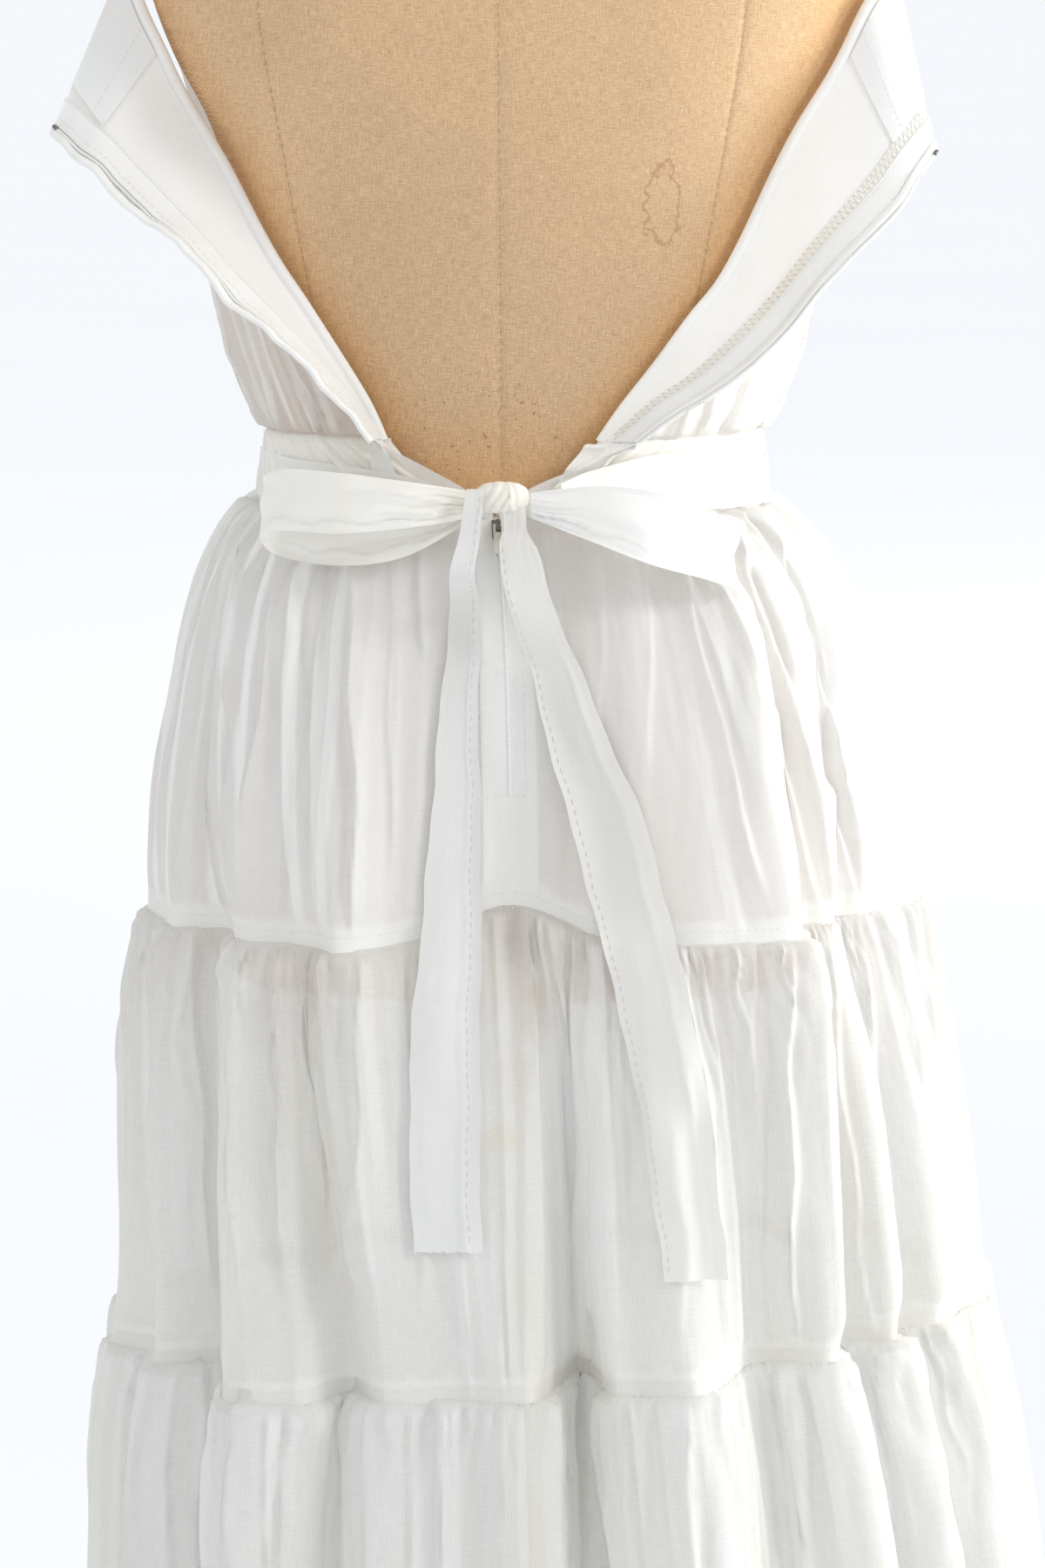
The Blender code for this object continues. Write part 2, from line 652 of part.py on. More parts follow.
def build_waist():
    cloth("waistband_back_left", [band_grid(SIDE_GAP_DEG, *BAND_END_LEFT)])
    cloth("waistband_back_right", [band_grid(180 - SIDE_GAP_DEG, *BAND_END_RIGHT)])
    front = []
    for r in range(BAND_POWER_ROWS + 1):
        height = BAND_LOW + (BAND_HIGH - BAND_LOW) * r / BAND_POWER_ROWS
        angles = np.linspace(180 + SIDE_GAP_DEG, 360 - SIDE_GAP_DEG, 2 * BAND_COLUMNS + 1)
        front.append([form_point(angle, height, BAND_OUT) for angle in angles])
    cloth("waistband_front", [front])
    for name, sign in (("tie_left", 1), ("tie_right", -1)):
        grid = []
        for angle, height, out, half in spread(TIE_PATH, 13):
            turn = angle if sign > 0 else 180 - angle
            row = []
            for share in (1, 0, -1):
                row.append(form_point(turn, height + share * half, out))
            grid.append(row)
        cloth(name, [grid], "tie_voile", TIE_WALL)


def ribbon_rows(table, count, across):
    """A ribbon's rows from stations of its two edges, with a slight hollow across."""
    grid = []
    for row in spread(table, count):
        upper, lower = row[:3], row[3:]
        grid.append([upper + (lower - upper) * c / across for c in range(across + 1)])
    return grid


def tail_rows(table, count):
    grid = []
    for height, left, right, least in spread(table, count):
        row = []
        for share in (0.0, 0.5, 1.0):
            x = left + (right - left) * share
            row.append((x, max(least, skirt_depth(x, height) + TAIL_CLEAR), height))
        deepest = max(point[1] for point in row)
        row = [(x, max(y, deepest - 0.5), z) for x, y, z in row]
        grid.append(row)
    return grid


def build_bow():
    knot = bmesh.new()
    bmesh.ops.create_cube(knot, size=2.0)
    bmesh.ops.scale(knot, vec=Vector(KNOT_HALF) * CM * 1.12, verts=knot.verts)
    bmesh.ops.translate(knot, vec=Vector(world(KNOT_CENTRE)), verts=knot.verts)
    mesh = bpy.data.meshes.new("bow_knot")
    knot.to_mesh(mesh)
    knot.free()
    mesh.materials.append(material("tie_voile"))
    thing = bpy.data.objects.new("bow_knot", mesh)
    PARTS.objects.link(thing)
    smooth = thing.modifiers.new("Round", "SUBSURF")
    smooth.levels = 2
    smooth.render_levels = 2
    cloth("bow_loop_left", [ribbon_rows(LOOP_LEFT, 19, 3)], "tie_voile", TIE_WALL)
    cloth("bow_loop_right", [ribbon_rows(LOOP_RIGHT, 19, 3)], "tie_voile", TIE_WALL)
    cloth("bow_tail_left", [tail_rows(TAIL_LEFT, 15)], "tie_voile", TIE_WALL)
    cloth("bow_tail_right", [tail_rows(TAIL_RIGHT, 15)], "tie_voile", TIE_WALL)


# ---------------------------------------------------------------- the bodice and its flaps
def lie_point(angle, height, share):
    """The bodice between a side seam (share 0) and the fold line or neck edge (share 1)."""
    ease = straight(SIDE_EASE, height, 1)
    out = ease + (straight(BODY_CLEAR, height, 1) - ease) * share ** 1.6
    above = height - BODICE_LOW
    fade = max(0.0, 1 - above / GATHER_FADE) * min(1.0, above / GATHER_RISE)
    wave = math.sin(math.pi * GATHERS * 2 * share) * math.sin(math.pi * share)
    return form_point(angle, height, out + GATHER_DEPTH * fade * wave)


def flap_grids(table, side):
    """The panel lying on the form, and its part folded outward past the fold line."""
    rows = len(table)
    above = len(NECK_BACK)
    arms = evenly(ARMHOLE_BACK, rows + above)
    under = []
    for r in range(rows + above):
        if r < rows:
            height = table[r][1]
            angle = form_angle(table[r][0], height, straight(BODY_CLEAR, height, 1))
        else:
            height, angle = NECK_BACK[r - rows]
            angle = angle + SIDE_GAP_DEG
            angle = angle if side > 0 else 180 - angle
        arm_height, arm_angle = arms[r]
        arm_angle = arm_angle + SIDE_GAP_DEG
        arm_angle = arm_angle if side > 0 else 180 - arm_angle
        row = []
        for c in range(UNDER_COLUMNS + 1):
            share = c / UNDER_COLUMNS
            row.append(lie_point(arm_angle + (angle - arm_angle) * share,
                                 arm_height + (height - arm_height) * share, share))
        under.append(row)
    folds = np.array([row[-1] for row in under[:rows]])
    flap = []
    for r in range(rows):
        along = folds[min(r + 1, rows - 1)] - folds[max(r - 1, 0)]
        along /= np.linalg.norm(along)
        clear = straight(BODY_CLEAR, folds[r][2], 1)
        away = folds[r] - form_point(form_angle(folds[r][0], folds[r][2], clear), folds[r][2])
        away /= np.linalg.norm(away)
        inward = np.cross(away, along)
        inward *= -side * math.copysign(1.0, inward[0])
        edge = np.array(table[r][2:])
        row = []
        for step in range(BEND_STEPS + 1):
            turn = math.pi * step / BEND_STEPS
            row.append(folds[r] + FOLD_RADIUS * (away * (1 - math.cos(turn))
                                                 + inward * math.sin(turn)))
        start = row[-1]
        for c in range(1, FLAP_COLUMNS + 1):
            row.append(start + (edge - start) * c / FLAP_COLUMNS)
        flap.append(row)
    return under, flap


def lifted(grid, distance, side):
    """The same rows of points moved out of the surface they lie in, towards the back."""
    points = np.array(grid)
    rows, columns = points.shape[:2]
    out = np.zeros_like(points)
    for r in range(rows):
        for c in range(columns):
            down = points[min(r + 1, rows - 1), c] - points[max(r - 1, 0), c]
            over = points[r, min(c + 1, columns - 1)] - points[r, max(c - 1, 0)]
            normal = np.cross(over, down) * side
            normal /= np.linalg.norm(normal)
            out[r, c] = points[r, c] + normal * distance
    return out


def facing_grid(flap, side):
    grid = []
    for row in flap[FACING_FIRST_ROW:]:
        start = row[BEND_STEPS]
        edge = row[-1]
        grid.append([start + (edge - start) * share for share in FACING_SHARES])
    grid[-1] = [point * 0.94 + inner * 0.06 for point, inner in zip(grid[-1], grid[-2])]
    return lifted(grid, FACING_CLEAR, side)


def tape_grid(flap, low, side):
    """The zip tape along a flap's free edge, with its lower end running down to the slider."""
    laid = []
    for row in flap:
        start = row[BEND_STEPS]
        edge = row[-1]
        length = np.linalg.norm(edge - start)
        width = min(TAPE_WIDTH, 0.8 * length)
        inner = edge + (start - edge) * width / length
        outer = edge + (edge - start) * TAPE_BEYOND / length
        laid.append([inner, (inner + outer) / 2, outer])
    laid = list(lifted(laid, TAPE_CLEAR, side))
    lower = []
    for row in low:
        inner, outer = np.array(row[:3]), np.array(row[3:])
        lower.append([inner, (inner + outer) / 2, outer])
    return lower + laid


def build_bodice():
    half = []
    for (arm_height, arm), (neck_height, neck) in zip(ARMHOLE_FRONT, NECK_FRONT):
        arm = arm + SIDE_GAP_DEG
        neck = min(neck + SIDE_GAP_DEG, 90.0)
        row = []
        for c in range(UNDER_COLUMNS + 1):
            share = c / UNDER_COLUMNS
            angle = arm + (neck - arm) * share
            height = arm_height + (neck_height - arm_height) * share
            point = lie_point(360 - angle, height, share)
            if angle > 89.99:
                point[0] = 0.0
            row.append(point)
        half.append(row)
    cloth("bodice_front", [half], mirrored=True)
    for name, table, low, side in (("left", FLAP_LEFT, TAPE_LOW_LEFT, 1),
                                   ("right", FLAP_RIGHT, TAPE_LOW_RIGHT, -1)):
        under, flap = flap_grids(table, side)
        cloth(f"bodice_back_{name}", [under, flap])
        cloth(f"neck_facing_{name}", [facing_grid(flap, side)])
        tape = tape_grid(flap, low, side)
        cloth(f"zip_tape_{name}", [tape], "zip_tape")
        build_stop(name, tape, side)


def build_stop(name, tape, side):
    """The small metal stop at the upper end of one side of the zip."""
    corner = np.array(tape[-1][-1])
    across = np.array(tape[-1][-1]) - np.array(tape[-1][0])
    along = np.array(tape[-1][-1]) - np.array(tape[-2][-1])
    across /= np.linalg.norm(across)
    normal = np.cross(across, along) * side
    normal /= np.linalg.norm(normal)
    along = np.cross(normal, across)
    centre = corner - across * 0.30 - along * 0.30 + normal * (STOP_SIZE[1] / 2 + 0.10)
    block = bmesh.new()
    bmesh.ops.create_cube(block, size=CM)
    bmesh.ops.scale(block, vec=Vector((STOP_SIZE[0], STOP_SIZE[2], STOP_SIZE[1])),
                    verts=block.verts)
    turn = Matrix((across, along, normal)).transposed().to_4x4()
    if turn.determinant() < 0:
        turn = Matrix((across, -along, normal)).transposed().to_4x4()
    bmesh.ops.transform(block, matrix=Matrix.Translation(Vector(world(centre))) @ turn,
                        verts=block.verts)
    mesh = bpy.data.meshes.new(f"zip_stop_{name}")
    block.to_mesh(mesh)
    block.free()
    mesh.materials.append(material("zip_metal"))
    thing = bpy.data.objects.new(f"zip_stop_{name}", mesh)
    PARTS.objects.link(thing)


# ---------------------------------------------------------------- the zip at the centre back
def zip_frame(height):
    """A point in the closed zip's plane, with the directions down it and out of it."""
    here = skirt_point(CENTRE_BACK_FOLD, height)
    below = skirt_point(CENTRE_BACK_FOLD, height - 1.0)
    down = (below - here) / np.linalg.norm(below - here)
    out = np.cross(down, np.array((1.0, 0.0, 0.0)))
    out *= math.copysign(1.0, out[1])
    out /= np.linalg.norm(out)
    return here, down, out


def plate(name, corners, look):
    """A straight bar: eight corners, four round one end and four round the other."""
    faces = [(0, 1, 2, 3), (7, 6, 5, 4), (0, 4, 5, 1), (1, 5, 6, 2), (2, 6, 7, 3), (3, 7, 4, 0)]
    return add_mesh(name, corners, faces, look)


def bar(origin, across, down, out, reach_x, reach_down, reach_out):
    corners = []
    for d in reach_down:
        for a, o in ((0, 0), (1, 0), (1, 1), (0, 1)):
            point = origin + across * reach_x[a] + down * d + out * reach_out[o]
            corners.append(world(point))
    return corners


def join_boxes(name, boxes, look):
    """Boxes that overlap, joined into one solid."""
    base = plate(name, boxes[0], look)
    weld(base)
    for i, corners in enumerate(boxes[1:]):
        tool = plate(f"{name}_cutter_{i}", corners, look)
        weld(tool)
        PARTS.objects.unlink(tool)
        CUTTERS.objects.link(tool)
        tool.hide_render = True
        tool.display_type = "WIRE"
        cut = base.modifiers.new(f"Join {i}", "BOOLEAN")
        cut.operation = "UNION"
        cut.solver = "EXACT"
        cut.object = tool
    return base


def build_zip():
    across = np.array((1.0, 0.0, 0.0))
    middle, down, out = zip_frame(SLIDER_TOP - SLIDER_LENGTH / 2)
    centre = middle - out * 0.05
    half_w = SLIDER_WIDTH / 2
    half_t = SLIDER_THICK / 2
    half_l = SLIDER_LENGTH / 2
    low, high = CROWN_REACH
    crown = CROWN_WIDTH / 2
    rise = half_t + CROWN_RISE
    leg = crown * 0.85
    leg_wall = CROWN_WALL * 0.85
    join_boxes("zip_slider", [
        bar(centre, across, down, out, (-half_w, half_w), (-half_l, half_l), (-half_t, half_t)),
        bar(centre, across, down, out, (-leg, leg), (low - leg_wall, low), (0.0, rise - 0.03)),
        bar(centre, across, down, out, (-leg, leg), (high, high + leg_wall), (0.0, rise - 0.03)),
        bar(centre, across, down, out, (-crown, crown), (low - CROWN_WALL, high + CROWN_WALL),
            (rise - CROWN_WALL, rise)),
    ], "zip_metal")
    pivot = centre + down * PULL_PIVOT[0] + out * (half_t + PULL_PIVOT[1])
    half_p = PULL_WIDTH / 2
    half_e = PULL_EYE[0] / 2
    wall = PULL_WALL / 2
    thick = (-wall, wall)
    eye = PULL_EYE[1]
    pull = join_boxes("zip_pull", [
        bar(pivot, across, down, out, (-half_p, half_p), (-wall, wall), thick),
        bar(pivot, across, down, out, (-half_p, -half_e), (-wall, eye + 0.1), thick),
        bar(pivot, across, down, out, (half_e, half_p), (-wall, eye + 0.1), thick),
        bar(pivot, across, down, out, (-half_p, half_p), (eye, PULL_LENGTH), thick),
    ], "zip_metal")
    place = Vector(world(pivot))
    for thing in [pull] + [cut.object for cut in pull.modifiers]:
        thing.data.transform(Matrix.Translation(-place))
        thing.location = place
    grid = []
    for height in np.linspace(SLIDER_TOP - SLIDER_LENGTH - 0.15, ZIP_END, 8):
        spot, _, facing_out = zip_frame(height)
        row = []
        for share in (-0.5, -0.25, 0.0, 0.25, 0.5):
            point = spot + across * CLOSED_TAPE_WIDTH * share - facing_out * CLOSED_TAPE_IN
            row.append(point)
        grid.append(row)
    cloth("zip_tape_closed", [grid], "zip_tape")


build_form()
build_stand()
build_skirt()
build_waist()
build_bow()
build_bodice()
build_zip()
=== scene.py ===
"""Tiered cotton voile maxi dress, back zip undone, on a limbless dress form: its looks.

World frame: metres, +Z up, front towards -Y, back towards +Y. The tables are in centimetres,
with heights counted from the waist. Left and right are the wearer's: left is +X. Angles run
from the left side (0) over the centre back (90) and the right side (180) to the front (270).
"""
import math

import bmesh
import bpy
import numpy as np
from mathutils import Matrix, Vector

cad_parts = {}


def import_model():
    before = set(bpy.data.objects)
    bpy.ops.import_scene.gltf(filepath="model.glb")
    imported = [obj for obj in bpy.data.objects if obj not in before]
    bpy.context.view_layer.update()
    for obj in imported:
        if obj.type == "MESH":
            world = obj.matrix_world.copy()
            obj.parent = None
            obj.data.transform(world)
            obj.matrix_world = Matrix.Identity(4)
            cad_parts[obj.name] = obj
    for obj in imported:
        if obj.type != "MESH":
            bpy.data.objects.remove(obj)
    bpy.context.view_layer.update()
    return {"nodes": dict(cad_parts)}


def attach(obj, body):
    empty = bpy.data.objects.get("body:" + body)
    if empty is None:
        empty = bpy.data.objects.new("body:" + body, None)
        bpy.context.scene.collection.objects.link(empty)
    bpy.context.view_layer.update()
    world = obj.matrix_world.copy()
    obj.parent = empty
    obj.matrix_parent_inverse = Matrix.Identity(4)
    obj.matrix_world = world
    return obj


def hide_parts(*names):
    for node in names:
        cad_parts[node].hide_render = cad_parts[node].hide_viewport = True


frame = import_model()
BODY = "dress_and_form"

CM = 0.01
WAIST_HEIGHT = 1.06

# ---------------------------------------------------------------- dress form
FORM_POWER = 2.3
FORM = (  # height, half width, back depth, front depth
    (-25.5, 13.9, 9.4, 8.4),
    (-24.0, 15.2, 10.5, 9.4),
    (-20.0, 16.4, 11.2, 10.2),
    (-15.0, 16.0, 11.0, 10.1),
    (-10.0, 14.8, 10.4, 9.6),
    (-5.0, 13.2, 9.4, 9.1),
    (0.0, 11.6, 8.4, 8.8),
    (5.0, 12.1, 8.6, 9.5),
    (10.0, 13.2, 9.3, 10.8),
    (17.0, 15.0, 10.1, 12.6),
    (20.0, 16.6, 10.4, 12.3),
    (24.0, 18.0, 10.4, 10.9),
    (27.0, 18.5, 10.2, 9.6),
    (30.0, 18.2, 9.4, 8.6),
    (33.0, 16.4, 8.2, 7.2),
    (35.0, 13.2, 7.3, 6.4),
    (37.0, 9.6, 6.7, 5.9),
    (38.5, 7.4, 6.2, 5.6),
    (43.0, 6.3, 5.7, 5.3),
)

# ---------------------------------------------------------------- skirt
SKIRT_POWER = 2.4
SKIRT = (  # height, centre x, left edge x, right edge x, back depth, front depth
    (-100.0, -3.6, 26.0, 33.0, 27.0, 24.5),
    (-69.0, -2.8, 21.8, 27.9, 20.6, 19.6),
    (-57.0, -2.4, 21.1, 26.6, 18.8, 18.2),
    (-47.6, -2.0, 20.8, 25.1, 17.6, 17.0),
    (-42.5, -1.8, 19.8, 23.7, 17.0, 16.4),
    (-34.0, -1.4, 19.5, 22.7, 16.0, 15.4),
    (-25.0, -1.0, 18.8, 21.1, 14.4, 13.6),
    (-22.0, -0.8, 18.2, 20.4, 13.5, 12.6),
    (-20.0, -0.7, 18.2, 20.1, 13.3, 12.4),
    (-16.3, -0.7, 17.9, 19.3, 12.9, 11.9),
    (-12.0, -0.6, 17.0, 18.2, 12.3, 11.3),
    (-7.5, -0.4, 15.8, 17.0, 11.4, 10.6),
    (-5.3, -0.2, 15.0, 15.8, 10.7, 10.1),
    (-3.1, 0.0, 13.7, 14.1, 9.9, 9.8),
    (-1.8, 0.1, 12.5, 12.5, 9.2, 9.5),
)
FOLD_HEIGHTS = (-100.0, -43.0, -22.0, -3.0)
FOLDS = (  # angle at hem, second seam, first seam, waist, then how far out at the same four
    (8, 10, 4, 0, 1.0, 0.2, 0.0, 0.15),       # left side seam
    (20, 22, 16, 14, -2.5, -1.8, -0.6, -0.15),
    (30, 30, 27, 23, 1.2, -0.6, -0.2, 0.25),
    (43, 41, 39, 33, -4.2, -4.0, -1.7, -0.25),
    (58, 60, 55, 45, 4.0, 3.4, 1.0, 0.25),
    (65, 66, 61, 53, 1.5, 2.8, 0.8, -0.1),
    (70, 71, 65, 60, -1.0, 0.0, 1.0, -0.2),
    (76, 77, 70, 66, 3.4, 2.3, 2.3, 0.25),
    (82, 84, 79, 76, 1.0, 1.8, 0.6, -0.1),
    (90, 90, 90, 90, 3.2, 2.4, -1.1, -0.1),   # centre back seam
    (94, 94, 95, 96, -4.5, -3.8, -0.5, -0.1),
    (100, 98, 99, 101, 2.8, 1.6, 0.2, 0.0),
    (107, 106, 106, 107, 3.6, 2.7, 1.2, 0.1),
    (119, 118, 115, 114, -3.6, -2.8, 1.6, 0.0),
    (131, 129, 127, 123, 2.0, -0.9, 1.9, 0.25),
    (141, 139, 136, 131, -4.3, -4.0, -2.0, -0.25),
    (150, 148, 143, 139, 1.5, -1.8, -1.5, 0.2),
    (158, 155, 151, 147, -3.2, -3.4, -2.9, -0.2),
    (166, 163, 160, 156, 1.4, -1.2, -1.9, 0.2),
    (175, 172, 170, 168, -1.6, -1.0, -1.2, -0.1),
    (184, 181, 180, 180, 0.8, 0.4, 0.0, 0.15),  # right side seam
    (195, 193, 192, 191, -2.8, -1.6, -0.8, -0.2),
    (205, 204, 203, 202, 2.2, 1.4, 0.5, 0.25),
    (216, 215, 214, 213, -3.6, -2.4, -1.0, -0.25),
    (228, 227, 226, 225, 3.4, 2.4, 1.0, 0.2),
    (239, 238, 238, 238, -3.0, -2.2, -0.9, -0.2),
    (249, 249, 250, 250, 3.0, 2.0, 0.8, 0.2),
    (261, 261, 261, 262, -2.6, -1.6, -0.5, -0.1),
    (272, 272, 272, 272, 2.4, 1.6, 0.6, 0.1),
    (284, 283, 283, 283, -3.4, -2.2, -0.8, -0.2),
    (295, 295, 294, 294, 3.2, 2.3, 1.0, 0.25),
    (307, 306, 306, 306, -3.0, -2.3, -0.9, -0.2),
    (319, 318, 318, 317, 3.4, 2.2, 0.9, 0.2),
    (331, 330, 330, 329, -3.0, -1.8, -0.8, -0.25),
    (343, 343, 342, 341, 2.4, 1.4, 0.4, 0.2),
    (355, 355, 352, 350, -2.0, -1.2, -0.5, -0.1),
)
SIDE_LEFT_FOLD = 0
CENTRE_BACK_FOLD = 9
SIDE_RIGHT_FOLD = 20
TIERS = (("tier_1", -1.87), ("tier_2", -22.0), ("tier_3", -43.0), ("tier_4", -69.0))   # and top height
HEM_HEIGHT = -99.5
SEAM_TILT = (0.0, 0.02, 0.048, 0.05, 0.05)   # rise per cm towards the right side, seam by seam
CENTRE_RISE = 1.8                            # of the first seam, at the centre back
CENTRE_RISE_WIDTH = 3.4
PLACKET = (  # height, half opening between the centre back edges of the first tier
    (-30.0, 0.035),
    (-8.4, 0.035),
    (-7.9, 0.18),
    (-3.8, 0.22),
    (-3.2, 0.50),
    (-1.8, 0.58),
)

# ---------------------------------------------------------------- waistband, tie and bow
BAND_LOW = -1.80
BAND_HIGH = 1.70
BAND_OUT = 0.55
BAND_END_LEFT = (0.9, 5.5)      # x of its centre back end at the lower and the upper edge
BAND_END_RIGHT = (-0.7, -4.6)
TIE_PATH = (  # angle from the side seam to the centre back, height, out from the form, half width
    (2.0, -0.05, 0.86, 1.60),
    (20.0, -0.05, 0.86, 1.60),
    (40.0, -0.15, 0.86, 1.50),
    (58.0, -0.30, 0.95, 1.35),
    (72.0, -0.60, 1.50, 1.10),
    (79.0, -0.90, 2.35, 0.85),
)
KNOT_CENTRE = (-0.25, 11.65, -0.98)
KNOT_HALF = (1.38, 0.85, 0.95)
KNOT_RAISE = 0.34                 # the scene's knot is pulled tighter than its solid
KNOT_SHRINK = (0.94, 1.0, 0.76)
LOOP_LEFT = (  # upper edge x, y, height, then lower edge x, y, height
    (1.12, 11.75, -0.35, 1.12, 11.80, -1.60),
    (4.0, 12.5, 0.15, 4.0, 12.7, -2.0),
    (7.4, 12.3, 0.55, 7.5, 12.8, -2.3),
    (10.1, 11.0, 0.60, 10.2, 11.6, -2.3),
    (11.2, 10.0, 0.20, 11.3, 10.4, -2.8),
    (10.5, 9.5, -0.30, 10.7, 9.7, -3.7),
    (7.6, 10.6, -0.60, 7.7, 11.2, -4.0),
    (4.3, 11.3, -0.70, 4.4, 11.7, -3.5),
    (1.12, 11.25, -0.65, 1.12, 11.30, -1.70),
)
LOOP_RIGHT = (
    (-1.62, 11.75, -0.40, -1.62, 11.80, -1.60),
    (-4.5, 12.4, 0.0, -4.6, 12.8, -2.6),
    (-7.3, 12.4, -0.2, -7.3, 13.0, -3.6),
    (-10.0, 11.2, -1.2, -9.8, 11.9, -4.4),
    (-11.7, 10.1, -2.0, -11.4, 10.7, -5.0),
    (-11.0, 9.6, -1.8, -10.9, 10.1, -4.7),
    (-8.3, 10.6, -0.8, -8.4, 11.5, -3.5),
    (-4.8, 11.2, -0.4, -4.9, 11.6, -2.6),
    (-1.62, 11.25, -0.55, -1.62, 11.30, -1.65),
)
TAIL_LEFT = (  # height, left edge x, right edge x, least distance behind the axis
    (-0.15, 1.40, 0.55, 12.60),
    (-0.9, 1.50, 0.60, 12.95),
    (-2.4, 1.75, 0.75, 12.95),
    (-5.0, 2.15, 0.85, 12.8),
    (-10.0, 2.60, 0.85, 0.0),
    (-18.0, 3.20, 0.65, 0.0),
    (-26.3, 3.80, 0.50, 0.0),
    (-31.0, 3.75, 0.40, 0.0),
    (-35.9, 3.55, 0.30, 0.0),
)
TAIL_RIGHT = (
    (-1.05, -0.10, -1.35, 12.05),
    (-1.6, -0.2, -1.45, 12.15),
    (-2.25, -0.25, -1.50, 12.2),
    (-3.5, -0.20, -2.15, 12.6),
    (-7.9, -1.35, -3.65, 12.4),
    (-12.0, -2.45, -5.40, 0.0),
    (-16.0, -3.60, -7.20, 0.0),
    (-21.0, -5.05, -8.60, 0.0),
    (-26.1, -6.45, -9.90, 0.0),
    (-31.5, -7.55, -10.75, 0.0),
    (-37.1, -8.40, -11.40, 0.0),
)

# ---------------------------------------------------------------- bodice
BODICE_LOW = 1.74
SIDE_EASE = (  # height, how far the cloth stands off the form at the side seam
    (1.7, 0.55),
    (3.0, 1.20),
    (5.5, 1.90),
    (10.0, 2.20),
    (14.0, 1.60),
    (18.0, 0.85),
    (24.0, 0.60),
    (30.0, 0.90),
    (36.0, 1.90),
)
BODY_CLEAR = (  # height, the same at the fold line and the neck edge
    (1.7, 0.50),
    (26.0, 0.50),
    (30.0, 0.90),
    (36.0, 1.90),
)
FOLD_RADIUS = 0.32
ARMHOLE_BACK = (  # height, angle, up the side seam and round the back of the armhole
    (1.74, 0.0), (6.0, 0.0), (11.0, 0.0), (16.0, 0.0), (18.5, 3.0), (21.0, 2.0),
    (24.3, -4.0), (27.5, -4.0), (30.0, -1.0), (32.0, 0.0),
)
ARMHOLE_FRONT = (  # height, angle in front of the side seam
    (1.74, 0.0), (5.0, 0.0), (9.0, 0.0), (13.0, 0.0), (16.0, 0.0), (19.0, 10.0), (22.5, 14.0),
    (26.0, 12.0), (29.5, 7.0), (32.0, 0.0),
)
NECK_FRONT = (  # height, angle in front of the side seam; 90 is the centre front
    (1.74, 90.0), (6.0, 90.0), (11.0, 90.0), (15.5, 90.0), (19.5, 90.0), (22.8, 90.0),
    (23.1, 72.0), (25.6, 50.0), (30.4, 28.0), (34.3, 0.0),
)
NECK_BACK = (  # height, angle of the strap's neck edge above the fold's upper end
    (27.5, 11.0), (31.2, 9.0), (34.3, 0.0),
)
FLAP_LEFT = (  # fold line x, height, then zip edge x, y, height
    (5.7, 1.74, 6.1, 10.0, 1.8),
    (6.6, 3.7, 7.7, 10.3, 4.0),
    (8.1, 6.1, 10.2, 10.4, 6.4),
    (9.6, 8.4, 12.6, 10.1, 8.7),
    (10.9, 10.3, 14.6, 9.6, 10.6),
    (13.2, 14.4, 17.4, 8.3, 13.0),
    (15.2, 17.5, 19.2, 7.2, 14.6),
    (16.5, 20.1, 20.3, 6.4, 15.4),
    (17.6, 22.2, 21.1, 5.7, 16.1),
    (18.4, 24.3, 21.9, 5.0, 16.7),
)
FLAP_RIGHT = (
    (-4.8, 1.74, -6.6, 10.1, 1.8),
    (-6.0, 3.5, -8.6, 10.4, 3.3),
    (-7.6, 5.6, -11.0, 10.3, 4.8),
    (-9.1, 7.7, -13.2, 10.0, 6.8),
    (-10.6, 9.7, -15.2, 9.5, 9.2),
    (-12.6, 13.9, -17.3, 8.6, 11.4),
    (-14.4, 17.4, -18.8, 7.5, 13.0),
    (-16.0, 20.1, -19.5, 6.6, 14.2),
    (-17.0, 22.2, -20.0, 5.8, 15.0),
    (-18.1, 24.3, -20.6, 5.0, 15.8),
)
FACING_FIRST_ROW = 7
FACING_REACH = 0.74             # share of the flap, from the fold line towards the zip edge
TAPE_WIDTH = 1.4
TAPE_LOW_LEFT = (  # inner edge x, y, height, then outer edge x, y, height, from the slider up
    (0.62, 9.35, -1.85, 0.30, 9.35, -1.75),
    (2.1, 9.45, -0.75, 1.6, 9.75, 0.15),
    (4.2, 9.45, 0.55, 3.7, 9.95, 1.05),
)
TAPE_LOW_RIGHT = (
    (-0.12, 9.35, -1.85, 0.20, 9.35, -1.75),
    (-1.6, 9.45, -0.75, -1.3, 9.75, 0.15),
    (-3.6, 9.45, 0.45, -3.7, 10.15, 0.95),
)

ZIP_END = -15.3
CLOSED_TAPE_WIDTH = 2.2


# ---------------------------------------------------------------- forms, as in the solids
def cubic(heights, values, height):
    """A smooth curve through values at heights, with the slopes of their neighbours."""
    slopes = np.gradient(values, heights)
    height = np.clip(height, heights[0], heights[-1])
    i = np.clip(np.searchsorted(heights, height, side="right") - 1, 0, len(heights) - 2)
    span = heights[i + 1] - heights[i]
    t = (height - heights[i]) / span
    rise = values[i] + (values[i + 1] - values[i]) * (3 * t ** 2 - 2 * t ** 3)
    return rise + span * (slopes[i] * (t ** 3 - 2 * t ** 2 + t) + slopes[i + 1] * (t ** 3 - t ** 2))


def column(table, height, index):
    """One column of a table at these heights, smooth through its rows."""
    rows = sorted(table)
    heights = np.array([row[0] for row in rows], dtype=float)
    values = np.array([row[index] for row in rows], dtype=float)
    return cubic(heights, values, np.asarray(height, dtype=float))


def straight(table, height, index):
    """One column of a table at these heights, straight between its rows."""
    rows = sorted(table)
    return np.interp(height, [row[0] for row in rows], [row[index] for row in rows])


